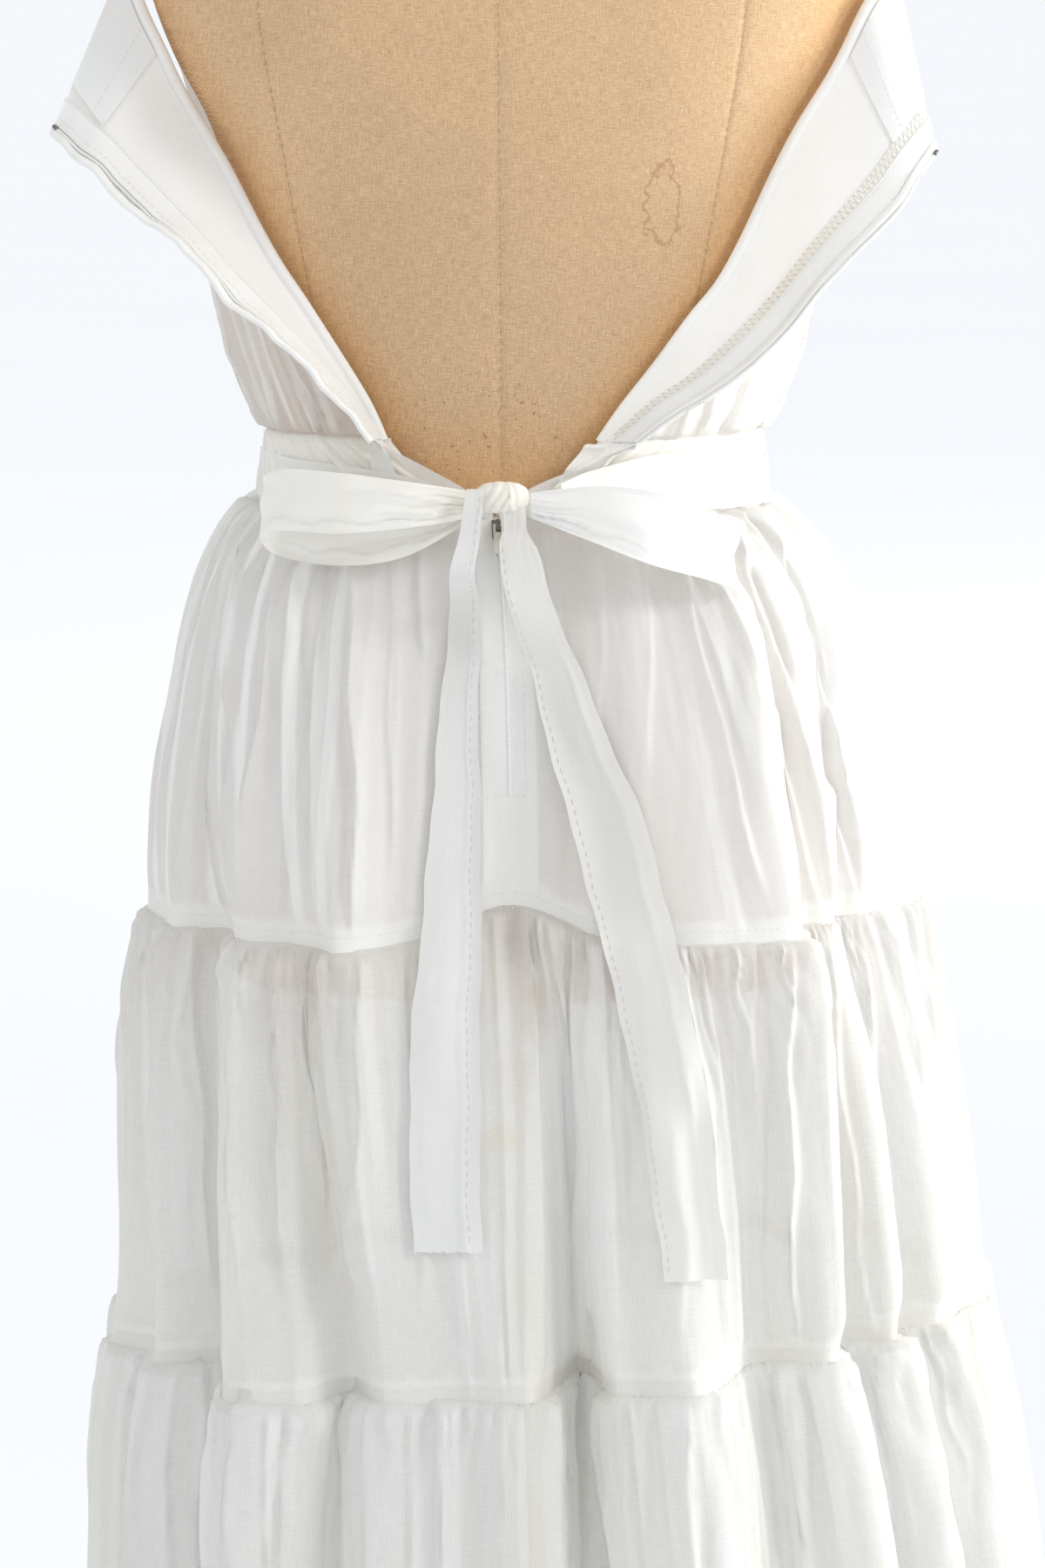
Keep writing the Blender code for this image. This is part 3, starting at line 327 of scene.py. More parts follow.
def spread(table, count):
    """Count rows spaced evenly along a table of points, smooth through them."""
    rows = np.array(table, dtype=float)
    places = np.linspace(0, len(rows) - 1, count)
    i = np.minimum(places.astype(int), len(rows) - 2)
    t = (places - i)[:, None]
    before = rows[np.maximum(i - 1, 0)]
    after = rows[np.minimum(i + 2, len(rows) - 1)]
    a, b = rows[i], rows[i + 1]
    return a + 0.5 * t * (b - before + t * (2 * before - 5 * a + 4 * b - after
                                            + t * (3 * (a - b) + after - before)))


def ellipse(angle, left, right, back, front, power):
    c = np.cos(np.radians(angle))
    s = np.sin(np.radians(angle))
    wide = np.where(c > 0, left, right)
    deep = np.where(s > 0, back, front)
    x = wide * np.sign(c) * np.abs(c) ** (2 / power)
    y = deep * np.sign(s) * np.abs(s) ** (2 / power)
    across = np.sign(x) * (np.abs(x) / wide) ** (power - 1) / wide
    along = np.sign(y) * (np.abs(y) / deep) ** (power - 1) / deep
    length = np.hypot(across, along)
    return x, y, across / length, along / length


def form_point(angle, height, out=0.0):
    angle, height, out = np.broadcast_arrays(np.asarray(angle, float), np.asarray(height, float), out)
    wide = column(FORM, height, 1)
    x, y, across, along = ellipse(angle, wide, wide, column(FORM, height, 2),
                                  column(FORM, height, 3), FORM_POWER)
    return np.stack((x + out * across, y + out * along, height), axis=-1)


def form_angle(x, height, out=0.0):
    """The angle on the back of the form where a line at this x meets the cloth."""
    wide = column(FORM, height, 1) + out
    share = np.minimum(np.abs(x) / wide, 0.9999)
    angle = np.degrees(np.arccos(share ** (FORM_POWER / 2)))
    return np.where(x > 0, angle, 180 - angle)


FOLD_ROWS = np.array(FOLDS, dtype=float)


def skirt_point(place, height):
    """The ring of folds: whole places are rows of FOLDS, running on past the last one."""
    place, height = np.broadcast_arrays(np.asarray(place, float), np.asarray(height, float))
    levels = np.array(FOLD_HEIGHTS)
    h = np.clip(height, levels[0], levels[-1])
    j = np.clip(np.searchsorted(levels, h, side="right") - 1, 0, len(levels) - 2)
    share = (h - levels[j]) / (levels[j + 1] - levels[j])
    low = np.floor(place).astype(int)
    ends = []
    for k in (low, low + 1):
        row = FOLD_ROWS[k % len(FOLDS)]
        pick = np.take_along_axis
        angles = [pick(row[..., :4], (j + d)[..., None], -1)[..., 0] for d in (0, 1)]
        outs = [pick(row[..., 4:], (j + d)[..., None], -1)[..., 0] for d in (0, 1)]
        ends.append((angles[0] + (angles[1] - angles[0]) * share + 360 * (k // len(FOLDS)),
                     outs[0] + (outs[1] - outs[0]) * share))
    part = place - low
    ease = part * part * (3 - 2 * part)
    angle = ends[0][0] + part * (ends[1][0] - ends[0][0])
    out = ends[0][1] + ease * (ends[1][1] - ends[0][1])
    centre = column(SKIRT, height, 1)
    x, y, across, along = ellipse(angle, column(SKIRT, height, 2) - centre,
                                  centre + column(SKIRT, height, 3), column(SKIRT, height, 4),
                                  column(SKIRT, height, 5), SKIRT_POWER)
    return np.stack((centre + x + out * across, y + out * along, height), axis=-1)


def seam_height(seam, place):
    """Height of the waist seam (0), of the seams between the tiers (1 to 3) or of the hem (4)."""
    flat = TIERS[seam][1] if seam < len(TIERS) else HEM_HEIGHT
    point = skirt_point(place, np.full(np.shape(place), flat))
    height = flat - SEAM_TILT[seam] * point[..., 0]
    if seam == 1:
        off = (point[..., 0] - column(SKIRT, flat, 1)) / CENTRE_RISE_WIDTH
        height = height + np.where(point[..., 1] > 0, CENTRE_RISE * np.exp(-off * off), 0.0)
    return height


# ---------------------------------------------------------------- cloth relief
def unit(vectors):
    length = np.linalg.norm(vectors, axis=-1, keepdims=True)
    return vectors / np.maximum(length, 1e-9)


def normals(grid):
    """Unit normals of a grid of points. Which side they face follows the order of its rows."""
    down = np.gradient(grid, axis=0)
    over = np.gradient(grid, axis=1)
    return unit(np.cross(over, down))


def outward(grid):
    """Unit normals that all face away from the vertical axis."""
    found = normals(grid)
    away = grid * (1.0, 1.0, 0.0)
    sign = np.sign(np.sum(found * away, axis=-1, keepdims=True))
    return found * np.where(sign == 0, 1, sign)


def ease(value, low, high):
    """From 0 at low to 1 at high, level at both ends."""
    t = np.clip((value - low) / (high - low), 0, 1)
    return t * t * (3 - 2 * t)


def length_along(points):
    steps = np.linalg.norm(np.diff(points, axis=0), axis=-1)
    return np.concatenate(([0.0], np.cumsum(steps)))


def points_at(places, keys, points):
    """The points at these places, straight between the points that stand at keys."""
    return np.stack([np.interp(places, keys, points[:, k]) for k in range(points.shape[1])], axis=-1)


def pleats(across, below, seed, spacing, depth, fade, sharp=0.8, uneven=1.0):
    """Gathers: ridges of random width and depth between tight valleys, dying out below a seam.

    Across and below are distances in cm along the cloth and down from the seam.
    """
    draw = np.random.default_rng(seed)
    wander = 0.22 * spacing * np.sin(below * 0.9 / spacing + across * 0.37 / spacing + seed)
    across = across + wander * np.minimum(below / spacing, 1.5)
    low, high = across.min() - 2 * spacing, across.max() + 2 * spacing
    count = int((high - low) / spacing * 1.6) + 4
    steps = spacing * draw.uniform(1 - 0.5 * uneven, 1 + 0.7 * uneven, count)
    valleys = low + np.cumsum(steps) - steps[0]
    depths = depth * draw.uniform(1 - 0.9 * uneven, 1.0, count) * np.minimum(steps / spacing, 1.2)
    fades = fade * np.exp(draw.normal(0, 0.45 * uneven, count))
    i = np.clip(np.searchsorted(valleys, across, side="right") - 1, 0, count - 2)
    t = np.clip((across - valleys[i]) / (valleys[i + 1] - valleys[i]), 0, 1)
    shape = np.sin(np.pi * t) ** sharp
    rise = ease(below, -0.05, 0.30)
    return depths[i] * shape * rise * np.exp(-(np.maximum(below, 0) / fades[i]) ** 1.3)


def long_pleats(across, below, seed, spacing, depth, band):
    """Pressed pleats down the cloth, steep on one side, and the doubled cloth beside each step."""
    draw = np.random.default_rng(seed)
    reach = below.max()
    relief = np.zeros_like(below)
    doubled = np.zeros_like(below)
    place = across.min() + spacing * draw.uniform(0.2, 1.0)
    while place < across.max():
        side = draw.choice((-1, 1))
        rise = depth * draw.uniform(0.3, 1.0)
        gentle = draw.uniform(0.3, 1.2)
        wide = band * draw.uniform(0.25, 1.0)
        stop = reach * draw.uniform(0.45, 1.5)
        lean = draw.normal(0, 0.02)
        wander = 0.10 * np.sin(below * draw.uniform(0.15, 0.4) + draw.uniform(0, math.tau))
        off = (across - place - lean * below - wander) * side
        shape = np.where(off > 0, np.exp(-np.maximum(off, 0) / gentle), np.exp(-(off / 0.12) ** 2))
        fade = 1 - ease(below, 0.6 * stop, stop)
        relief += rise * shape * fade
        beside = ease(off, -0.04, 0.06) * (1 - ease(off, wide, wide + 0.12)) * fade
        doubled = np.maximum(doubled, beside * draw.uniform(0.35, 1.0))
        place += spacing * draw.uniform(0.35, 1.7)
    return relief * ease(below, 0.0, 0.8), doubled * ease(below, 0.0, 0.8)


def streaks(across, along, seed, spacing, depth, length):
    """Long soft ridges that start and stop at random heights."""
    draw = np.random.default_rng(seed)
    low, high = across.min(), across.max()
    top, bottom = along.max(), along.min()
    total = np.zeros(np.broadcast(across, along).shape)
    count = max(3, int((high - low) / spacing * max(1.0, (top - bottom) / length)))
    for _ in range(count):
        centre = draw.uniform(low, high)
        middle = draw.uniform(bottom, top)
        width = spacing * draw.uniform(0.18, 0.55)
        half = length * draw.uniform(0.35, 0.9)
        lean = draw.normal(0, 0.035)
        rise = depth * draw.uniform(0.25, 1.0) * draw.choice((-1, 1, 1))
        off = (across - centre - lean * (along - middle)) / width
        total += rise * np.exp(-off * off) * np.exp(-((along - middle) / half) ** 2)
    return total


def crumple(across, along, seed, size, depth):
    """A low uneven swell made of crossing waves of random direction."""
    draw = np.random.default_rng(seed)
    total = np.zeros(np.broadcast(across, along).shape)
    for _ in range(9):
        turn = draw.uniform(0, math.tau)
        long = size * draw.uniform(0.7, 1.9)
        phase = draw.uniform(0, math.tau)
        total += np.sin((across * math.cos(turn) + along * math.sin(turn)) * math.tau / long + phase)
    return depth * total / 3.0


# ---------------------------------------------------------------- meshes
COIL_PITCH = 0.095
COIL_POINTS_A_TURN = 7
COIL_RADIUS = 0.06
COIL_STRAND = 0.04          # radius of the coil's own thread
CORD_RADIUS = 0.07


def settle(thing, look, node=()):
    thing.data.materials.clear()
    thing.data.materials.append(LOOKS[look])
    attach(thing, BODY)
    if node:
        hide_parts(*node)
    return thing


def in_scene(name, data):
    thing = bpy.data.objects.new(name, data)
    bpy.context.scene.collection.objects.link(thing)
    return thing


def set_mark(mesh, mark, values):
    """A number at each vertex, which the cloth's material reads by name."""
    spot = mesh.attributes.new(mark, "FLOAT", "POINT")
    spot.data.foreach_set("value", np.ascontiguousarray(values, dtype=np.float32))


def set_threads(mesh, flat):
    """The vertices' places along the threads, in metres, as the mesh's UVs."""
    layer = mesh.uv_layers.new(name="threads")
    order = np.empty(len(mesh.loops), dtype=np.int32)
    mesh.loops.foreach_get("vertex_index", order)
    layer.data.foreach_set("uv", flat[order].astype(np.float32).ravel())


def make_object(name, points, faces, smooth=True):
    mesh = bpy.data.meshes.new(name)
    mesh.from_pydata(points, [], faces)
    mesh.polygons.foreach_set("use_smooth", [smooth] * len(mesh.polygons))
    mesh.update()
    return in_scene(name, mesh)


def world(points):
    return np.asarray(points, dtype=float) * CM + (0.0, 0.0, WAIST_HEIGHT)


def quads(rows, columns, first=0, closed=False):
    faces = []
    wrap = columns if closed else columns - 1
    for r in range(rows - 1):
        for c in range(wrap):
            d = (c + 1) % columns
            a = first + r * columns
            faces.append((a + c, a + d, a + columns + d, a + columns + c))
    return faces


def cloth(name, grid, look, node=(), marks=None, across=None):
    """A sheet of cloth from rows of points, with its threads' lengths in metres as its UVs."""
    grid = np.asarray(grid, dtype=float)
    rows, columns = grid.shape[:2]
    thing = make_object(name, world(grid.reshape(-1, 3)).tolist(), quads(rows, columns))
    mid = rows // 2
    u = length_along(grid[mid]) * CM if across is None else np.asarray(across) * CM
    steps = np.linalg.norm(np.diff(grid, axis=0), axis=-1)
    v = np.concatenate((np.zeros((1, columns)), np.cumsum(steps, axis=0))) * CM
    flat = np.stack((np.broadcast_to(u, (rows, columns)), v), axis=-1).reshape(-1, 2)
    set_threads(thing.data, flat)
    for mark, values in (marks or {}).items():
        set_mark(thing.data, mark, np.broadcast_to(values, (rows, columns)).reshape(-1))
    return settle(thing, look, node=node)


def tube_rings(path, radius, sides, taper):
    """Rings of a round thread along a path of points in cm."""
    path = np.asarray(path, dtype=float)
    tangent = unit(np.gradient(path, axis=0))
    helper = np.array((0.0, 0.0, 1.0))
    if abs(tangent[:, 2]).mean() > 0.8:
        helper = np.array((1.0, 0.0, 0.0))
    side = unit(np.cross(tangent, helper))
    other = np.cross(tangent, side)
    turn = np.arange(sides) * math.tau / sides
    thick = np.full(len(path), radius)
    if taper:
        thick[0] = thick[-1] = radius * 0.35
    across, along = np.cos(turn)[None, :, None], np.sin(turn)[None, :, None]
    return path[:, None] + thick[:, None, None] * (across * side[:, None] + along * other[:, None])


def tubes(name, paths, radius, sides, look, taper=False):
    points = []
    faces = []
    for path in paths:
        ring = tube_rings(path, radius, sides, taper)
        first = len(points)
        points += world(ring.reshape(-1, 3)).tolist()
        faces += quads(len(ring), sides, first, closed=True)
        faces.append(tuple(first + k for k in reversed(range(sides))))
        last = first + (len(ring) - 1) * sides
        faces.append(tuple(last + k for k in range(sides)))
    return settle(make_object(name, points, faces), look)


def stitch_paths(path, length, gap, sink, seed):
    """Short stitches along a line of points, each dipping into the cloth at both ends."""
    path = np.asarray(path, dtype=float)
    run = length_along(path)
    draw = np.random.default_rng(seed)
    found = []
    place = gap
    while place + length < run[-1]:
        here = place + draw.normal(0, 0.012)
        spots = np.linspace(here, here + length * draw.uniform(0.88, 1.1), 4)
        points = points_at(spots, run, path)
        points[0, 1] -= sink
        points[-1, 1] -= sink
        found.append(points)
        place += length + gap
    return found


def coil_path(path, out, radius):
    """A helix wound round a line of points: the nylon teeth of a zip."""
    path = np.asarray(path, dtype=float)
    run = length_along(path)
    turns = run[-1] / COIL_PITCH
    place = np.linspace(0, run[-1], int(turns * COIL_POINTS_A_TURN) + 1)
    centre = points_at(place, run, path)
    tangent = unit(np.gradient(centre, axis=0))
    side = unit(np.cross(tangent, np.asarray(out, dtype=float)))
    other = np.cross(side, tangent)
    turn = place / COIL_PITCH * math.tau
    return centre + radius * (np.cos(turn)[:, None] * side * 1.25 + np.sin(turn)[:, None] * other)


# ---------------------------------------------------------------- materials
class Graph:
    """A material's nodes, made and joined in short lines."""

    def __init__(self, name):
        self.material = bpy.data.materials.new(name)
        self.material.use_nodes = True
        self.tree = self.material.node_tree
        self.tree.nodes.clear()
        self.output = self.tree.nodes.new("ShaderNodeOutputMaterial")

    def node(self, kind, settings=None, **sockets):
        made = self.tree.nodes.new("ShaderNode" + kind)
        for key, value in (settings or {}).items():
            setattr(made, key, value)
        for key, value in sockets.items():
            socket = made.inputs[int(key[1:]) if key[1:].isdigit() else key.replace("_", " ")]
            if isinstance(value, bpy.types.NodeSocket):
                self.tree.links.new(value, socket)
            else:
                socket.default_value = value
        return made

    def sum(self, operation, a, b=0.0):
        return self.node("Math", {"operation": operation}, i0=a, i1=b).outputs[0]

    def noise(self, vector, scale, detail=2.0, rough=0.5):
        return self.node("TexNoise", i0=vector, Scale=scale, Detail=detail, Roughness=rough).outputs[0]

    def stretched(self, vector, x, y, z=1.0):
        return self.node("Mapping", Vector=vector, Scale=(x, y, z)).outputs[0]

    def span(self, value, low, high, to_low=0.0, to_high=1.0):
        return self.node("MapRange", {"interpolation_type": "SMOOTHSTEP"}, Value=value, i1=low, i2=high,
                         i3=to_low, i4=to_high).outputs[0]

    def mix(self, share, a, b):
        return self.node("Mix", {"data_type": "RGBA"}, i0=share, i6=a, i7=b).outputs[2]

    def times(self, colour, value):
        settings = {"data_type": "RGBA", "blend_type": "MULTIPLY"}
        return self.node("Mix", settings, i0=1.0, i6=colour, i7=value).outputs[2]

    def attribute(self, name):
        return self.node("Attribute", {"attribute_name": name}).outputs["Fac"]

    def threads(self):
        return self.node("UVMap", {"uv_map": "threads"}).outputs[0]

    def object_point(self):
        return self.node("TexCoord").outputs["Object"]

    def finish(self, shader):
        self.tree.links.new(shader, self.output.inputs["Surface"])
        return self.material


def opaque(colour):
    return (*colour, 1)


def voile(name, colour, shade, through, clear):
    """Cotton voile: slubby threads both ways, light coming through, thinner between the threads."""
    g = Graph(name)
    place = g.threads()
    warp = g.noise(g.stretched(place, 2500.0, 85.0), 1.0, 3.0, 0.6)
    weft = g.noise(g.stretched(place, 95.0, 2300.0), 1.0, 3.0, 0.6)
    bands = g.noise(g.stretched(place, 380.0, 6.0), 1.0, 3.0, 0.65)
    solid = g.object_point()
    cloud = g.noise(g.stretched(solid, 16.0, 16.0, 4.0), 1.0, 3.0, 0.55)
    slub = g.sum("ADD", g.sum("MULTIPLY", warp, 0.5), g.sum("MULTIPLY", weft, 0.5))
    layers = g.attribute("layers")
    stain_and_fold_shade = g.attribute("stain_and_fold_shade")
    tint = g.mix(g.span(cloud, 0.45, 0.72), opaque(colour), opaque(shade))
    tint = g.times(tint, g.mix(g.span(slub, 0.36, 0.64), (0.965, 0.965, 0.965, 1), (1, 1, 1, 1)))
    tint = g.times(tint, g.mix(layers, (0.965, 0.965, 0.965, 1), (1.01, 1.01, 1.01, 1)))
    # this mark carries real stains and painted warm shade in the fold valleys
    tint = g.mix(g.sum("MULTIPLY", stain_and_fold_shade, 0.55), tint, (0.80, 0.66, 0.42, 1))
    height = g.sum("ADD", g.sum("MULTIPLY", slub, 0.5), g.sum("MULTIPLY", bands, 0.9))
    bump = g.node("Bump", Strength=0.26, Distance=0.0006, Height=height).outputs[0]
    face = g.node("BsdfPrincipled", Base_Color=tint, Roughness=0.86, Sheen_Weight=0.18,
                  Sheen_Roughness=0.5, Specular_IOR_Level=0.18, Normal=bump).outputs[0]
    back = g.node("BsdfTranslucent", Color=tint, Normal=bump).outputs[0]
    share = g.sum("MULTIPLY", through, g.sum("SUBTRACT", 1.0, g.sum("MULTIPLY", layers, 0.55)))
    lit = g.node("MixShader", i0=share, i1=face, i2=back).outputs[0]
    open_share = g.sum("MULTIPLY", g.span(slub, 0.30, 0.62, clear * 1.3, clear * 0.7),
                       g.sum("SUBTRACT", 1.0, g.sum("MULTIPLY", layers, 0.9)))
    hole = g.node("BsdfTransparent").outputs[0]
    return g.finish(g.node("MixShader", i0=open_share, i1=lit, i2=hole).outputs[0])


def herringbone(name):
    """Woven zip tape: narrow herringbone stripes along it."""
    g = Graph(name)
    place = g.threads()
    parts = g.node("SeparateXYZ", i0=place)
    fold = g.sum("PINGPONG", g.sum("MULTIPLY", parts.outputs[0], 1000.0), 1.5)
    run = g.sum("ADD", g.sum("MULTIPLY", parts.outputs[1], 1000.0), fold)
    slant = g.sum("FRACT", g.sum("MULTIPLY", run, 0.9))
    rib = g.sum("PINGPONG", slant, 0.5)
    fuzz = g.noise(g.object_point(), 900.0, 2.0)
    height = g.sum("ADD", rib, g.sum("MULTIPLY", fuzz, 0.25))
    bump = g.node("Bump", Strength=0.3, Distance=0.0003, Height=height).outputs[0]
    tint = g.mix(g.span(rib, 0.0, 0.42), (0.90, 0.90, 0.885, 1), (1.0, 1.0, 0.985, 1))
    face = g.node("BsdfPrincipled", Base_Color=tint, Roughness=0.7, Sheen_Weight=0.2,
                  Specular_IOR_Level=0.25, Normal=bump).outputs[0]
    back = g.node("BsdfTranslucent", Color=(0.9, 0.9, 0.88, 1)).outputs[0]
    return g.finish(g.node("MixShader", i0=0.18, i1=face, i2=back).outputs[0])


def thread(name, colour, roughness=0.7):
    g = Graph(name)
    fibre = g.noise(g.object_point(), 2600.0, 2.0)
    tint = g.times(opaque(colour), g.mix(fibre, (0.86, 0.86, 0.86, 1), (1, 1, 1, 1)))
    bump = g.node("Bump", Strength=0.4, Distance=0.0002, Height=fibre).outputs[0]
    return g.finish(g.node("BsdfPrincipled", Base_Color=tint, Roughness=roughness, Sheen_Weight=0.1,
                           Normal=bump).outputs[0])


STAIN_CENTRE = (-0.0775, 0.131 + WAIST_HEIGHT)     # x and height of the ring left by water
STAIN_HALF = (0.0085, 0.0185)
RUST_CENTRE = (0.012, 0.019 + WAIST_HEIGHT)        # the rust specks, in the same way
RUST_HALF = (0.05, 0.034)
LINEN_REPEAT = 0.00108                             # metres from one thread of the weave to the next


def linen(name):
    """Tan linen over the padded form: an uneven plain weave, with painted warm shade where the dress
    lies near it.
    """
    g = Graph(name)
    place = g.object_point()
    parts = g.node("SeparateXYZ", i0=place)
    x, y, z = parts.outputs
    around = g.sum("ADD", x, g.sum("MULTIPLY", y, 0.35))
    flat = g.node("CombineXYZ", i0=around, i2=z).outputs[0]
    warp = g.noise(g.stretched(flat, 2100.0, 1.0, 150.0), 1.0, 3.0, 0.7)
    weft = g.noise(g.stretched(flat, 170.0, 1.0, 2000.0), 1.0, 3.0, 0.7)
    sway = g.sum("MULTIPLY", g.noise(flat, 60.0, 2.0), 2.4)
    over = g.sum("SINE", g.sum("ADD", g.sum("MULTIPLY", around, math.tau / LINEN_REPEAT), sway))
    under = g.sum("SINE", g.sum("ADD", g.sum("MULTIPLY", z, math.tau / LINEN_REPEAT), sway))
    checks = g.sum("MULTIPLY_ADD", g.sum("MULTIPLY", over, under), 0.5)
    checks.node.inputs[2].default_value = 0.5
    grain = g.noise(place, 1500.0, 3.0, 0.7)
    cloud = g.noise(place, 9.0, 4.0, 0.6)
    weave = g.sum("ADD", g.sum("MULTIPLY", warp, 0.5), g.sum("MULTIPLY", weft, 0.5))
    mixed = g.sum("ADD", g.sum("MULTIPLY", weave, 0.55), g.sum("MULTIPLY", grain, 0.25))
    mixed = g.sum("ADD", mixed, g.sum("MULTIPLY", checks, 0.20))
    tint = g.mix(g.span(mixed, 0.32, 0.68), (0.41, 0.245, 0.115, 1), (0.92, 0.67, 0.42, 1))
    tint = g.times(tint, g.mix(g.span(cloud, 0.35, 0.7), (0.93, 0.93, 0.94, 1), (1.03, 1.02, 1.0, 1)))
    # painted shade: the linen turns darker and more orange where the dress lies near it, standing for
    # its shade and bounced light
    near = g.attribute("painted_shade_near_cloth")
    tint = g.mix(g.sum("MULTIPLY", near, 0.62), tint, g.times(tint, (1.02, 0.74, 0.42, 1)))
    shaken = g.noise(place, 130.0, 4.0, 0.6)
    def off(axis, centre, half):
        return g.sum("DIVIDE", g.sum("SUBTRACT", axis, centre), half)
    def away(centre, half):
        dx = off(x, centre[0], half[0])
        dz = off(z, centre[1], half[1])
        return g.sum("SQRT", g.sum("ADD", g.sum("MULTIPLY", dx, dx), g.sum("MULTIPLY", dz, dz)))
    behind = g.span(y, 0.0, 0.02)
    wobble = g.sum("MULTIPLY", g.sum("SUBTRACT", shaken, 0.5), 1.5)
    reach = away(STAIN_CENTRE, STAIN_HALF)
    ring = g.sum("ABSOLUTE", g.sum("SUBTRACT", g.sum("ADD", reach, wobble), 1.0))
    ring = g.sum("MULTIPLY", g.span(ring, 0.02, 0.13, 1.0, 0.0), g.span(reach, 1.4, 1.8, 1.0, 0.0))
    ring = g.sum("MULTIPLY", g.sum("MULTIPLY", ring, behind), 0.5)
    tint = g.mix(ring, tint, (0.36, 0.19, 0.075, 1))
    specks = g.span(g.noise(place, 420.0, 2.0, 0.6), 0.655, 0.72)
    specks = g.sum("MULTIPLY", specks, g.span(away(RUST_CENTRE, RUST_HALF), 0.7, 1.25, 1.0, 0.0))
    specks = g.sum("MULTIPLY", g.sum("MULTIPLY", specks, behind), 0.75)
    tint = g.mix(specks, tint, (0.30, 0.13, 0.045, 1))
    bump = g.node("Bump", Strength=0.5, Distance=0.0006, Height=mixed).outputs[0]
    return g.finish(g.node("BsdfPrincipled", Base_Color=tint, Roughness=0.9, Sheen_Weight=0.12,
                           Specular_IOR_Level=0.2, Normal=bump).outputs[0])


def wood(name):
    g = Graph(name)
    place = g.object_point()
    rings = g.node("TexWave", {"bands_direction": "X"}, Vector=g.stretched(place, 1.0, 1.0, 0.2),
                   Scale=42.0, Distortion=5.0, Detail=3.0).outputs["Fac"]
    fleck = g.noise(g.stretched(place, 260.0, 260.0, 20.0), 1.0, 3.0)
    grain = g.sum("ADD", g.sum("MULTIPLY", rings, 0.6), g.sum("MULTIPLY", fleck, 0.4))
    tint = g.mix(grain, (0.17, 0.082, 0.033, 1), (0.40, 0.22, 0.10, 1))
    bump = g.node("Bump", Strength=0.2, Distance=0.0004, Height=grain).outputs[0]
    return g.finish(g.node("BsdfPrincipled", Base_Color=tint, Roughness=0.42, Coat_Weight=0.25,
                           Coat_Roughness=0.2, Normal=bump).outputs[0])


def steel(name, colour, worn, roughness, metallic):
    g = Graph(name)
    place = g.object_point()
    pits = g.noise(place, 240.0, 4.0, 0.6)
    marks = g.noise(place, 30.0, 4.0, 0.6)
    tint = g.mix(g.span(marks, 0.45, 0.72), opaque(colour), opaque(worn))
    rough = g.span(pits, 0.3, 0.7, roughness * 0.85, roughness * 1.25)
    bump = g.node("Bump", Strength=0.2, Distance=0.0003, Height=pits).outputs[0]
    return g.finish(g.node("BsdfPrincipled", Base_Color=tint, Roughness=rough, Metallic=metallic,
                           Normal=bump).outputs[0])


def plain_floor(name):
    g = Graph(name)
    soft = g.noise(g.object_point(), 0.8, 3.0)
    tint = g.mix(soft, (0.925, 0.945, 0.975, 1), (0.955, 0.97, 0.99, 1))
    return g.finish(g.node("BsdfPrincipled", Base_Color=tint, Roughness=0.95,
                           Specular_IOR_Level=0.1).outputs[0])


LOOKS = {
    # lighter copy of the voile: painted light on the seat and on the right back panel
    "seat": voile("voile_seat_painted_light", (0.952, 0.955, 0.938), (0.938, 0.935, 0.91), 0.24, 0.055),
    "voile": voile("voile_white", (0.885, 0.885, 0.872), (0.862, 0.85, 0.805), 0.36, 0.15),
    # darker copy of the voile: painted shade on the two lowest tiers
    "voile_painted_shade": voile("voile_white_painted_shade", (0.87, 0.868, 0.855), (0.845, 0.83, 0.785), 0.36, 0.15),
    "panel": voile("voile_bodice", (0.94, 0.935, 0.92), (0.92, 0.905, 0.87), 0.36, 0.22),
    # darker copies of the tie voile: painted shade on the two hanging tails
    "tail": voile("tie_voile_tail_painted_shade", (0.83, 0.83, 0.825), (0.81, 0.80, 0.775), 0.42, 0.05),
    "tail_cream": voile("tie_voile_cream_tail_painted_shade", (0.84, 0.83, 0.805), (0.82, 0.80, 0.755), 0.42, 0.05),
    "inside": voile("voile_inside", (0.95, 0.945, 0.925), (0.93, 0.915, 0.875), 0.26, 0.02),
    "facing": voile("voile_facing", (0.915, 0.915, 0.91), (0.89, 0.89, 0.88), 0.22, 0.01),
    # the cream tone is the cloth's own; its high brightness is painted light against the shade under
    # the flaps and bow
    "cream": voile("voile_cream_painted_light", (0.975, 0.955, 0.90), (0.965, 0.925, 0.84), 0.28, 0.02),
    # darker, creamier copy of the tie voile: painted shade on the left tie and the left bow loop
    "tie": voile("tie_voile_fine_painted_shade", (0.91, 0.895, 0.855), (0.895, 0.865, 0.79), 0.30, 0.03),
    "tie_white": voile("tie_voile_white", (0.955, 0.95, 0.945), (0.935, 0.925, 0.90), 0.30, 0.02),
    "tape": herringbone("zip_tape_herringbone"),
    "nylon": thread("nylon_coil", (0.98, 0.98, 0.955), 0.5),
    "thread": thread("cotton_thread", (0.92, 0.91, 0.88)),
    # grey thread: real hem stitches, darkened as painted shade for the hem's shadow line
    "hem_thread_painted_shade": thread("tie_hem_thread", (0.76, 0.745, 0.70)),
    "overlock": thread("overlock_thread", (0.90, 0.875, 0.80)),
    "seam_thread": thread("form_seam_thread", (0.34, 0.35, 0.27)),
    "linen": linen("linen_tan"),
    "wood": wood("turned_wood_grain"),
    "enamel": steel("painted_steel_enamel", (0.80, 0.79, 0.75), (0.74, 0.72, 0.67), 0.42, 0.0),
    "dark_metal": steel("zip_metal_dark", (0.20, 0.20, 0.19), (0.34, 0.33, 0.30), 0.38, 1.0),
    "bright_metal": steel("zip_metal_bright", (0.78, 0.77, 0.74), (0.62, 0.60, 0.55), 0.28, 1.0),
    "floor": plain_floor("studio_floor"),
}


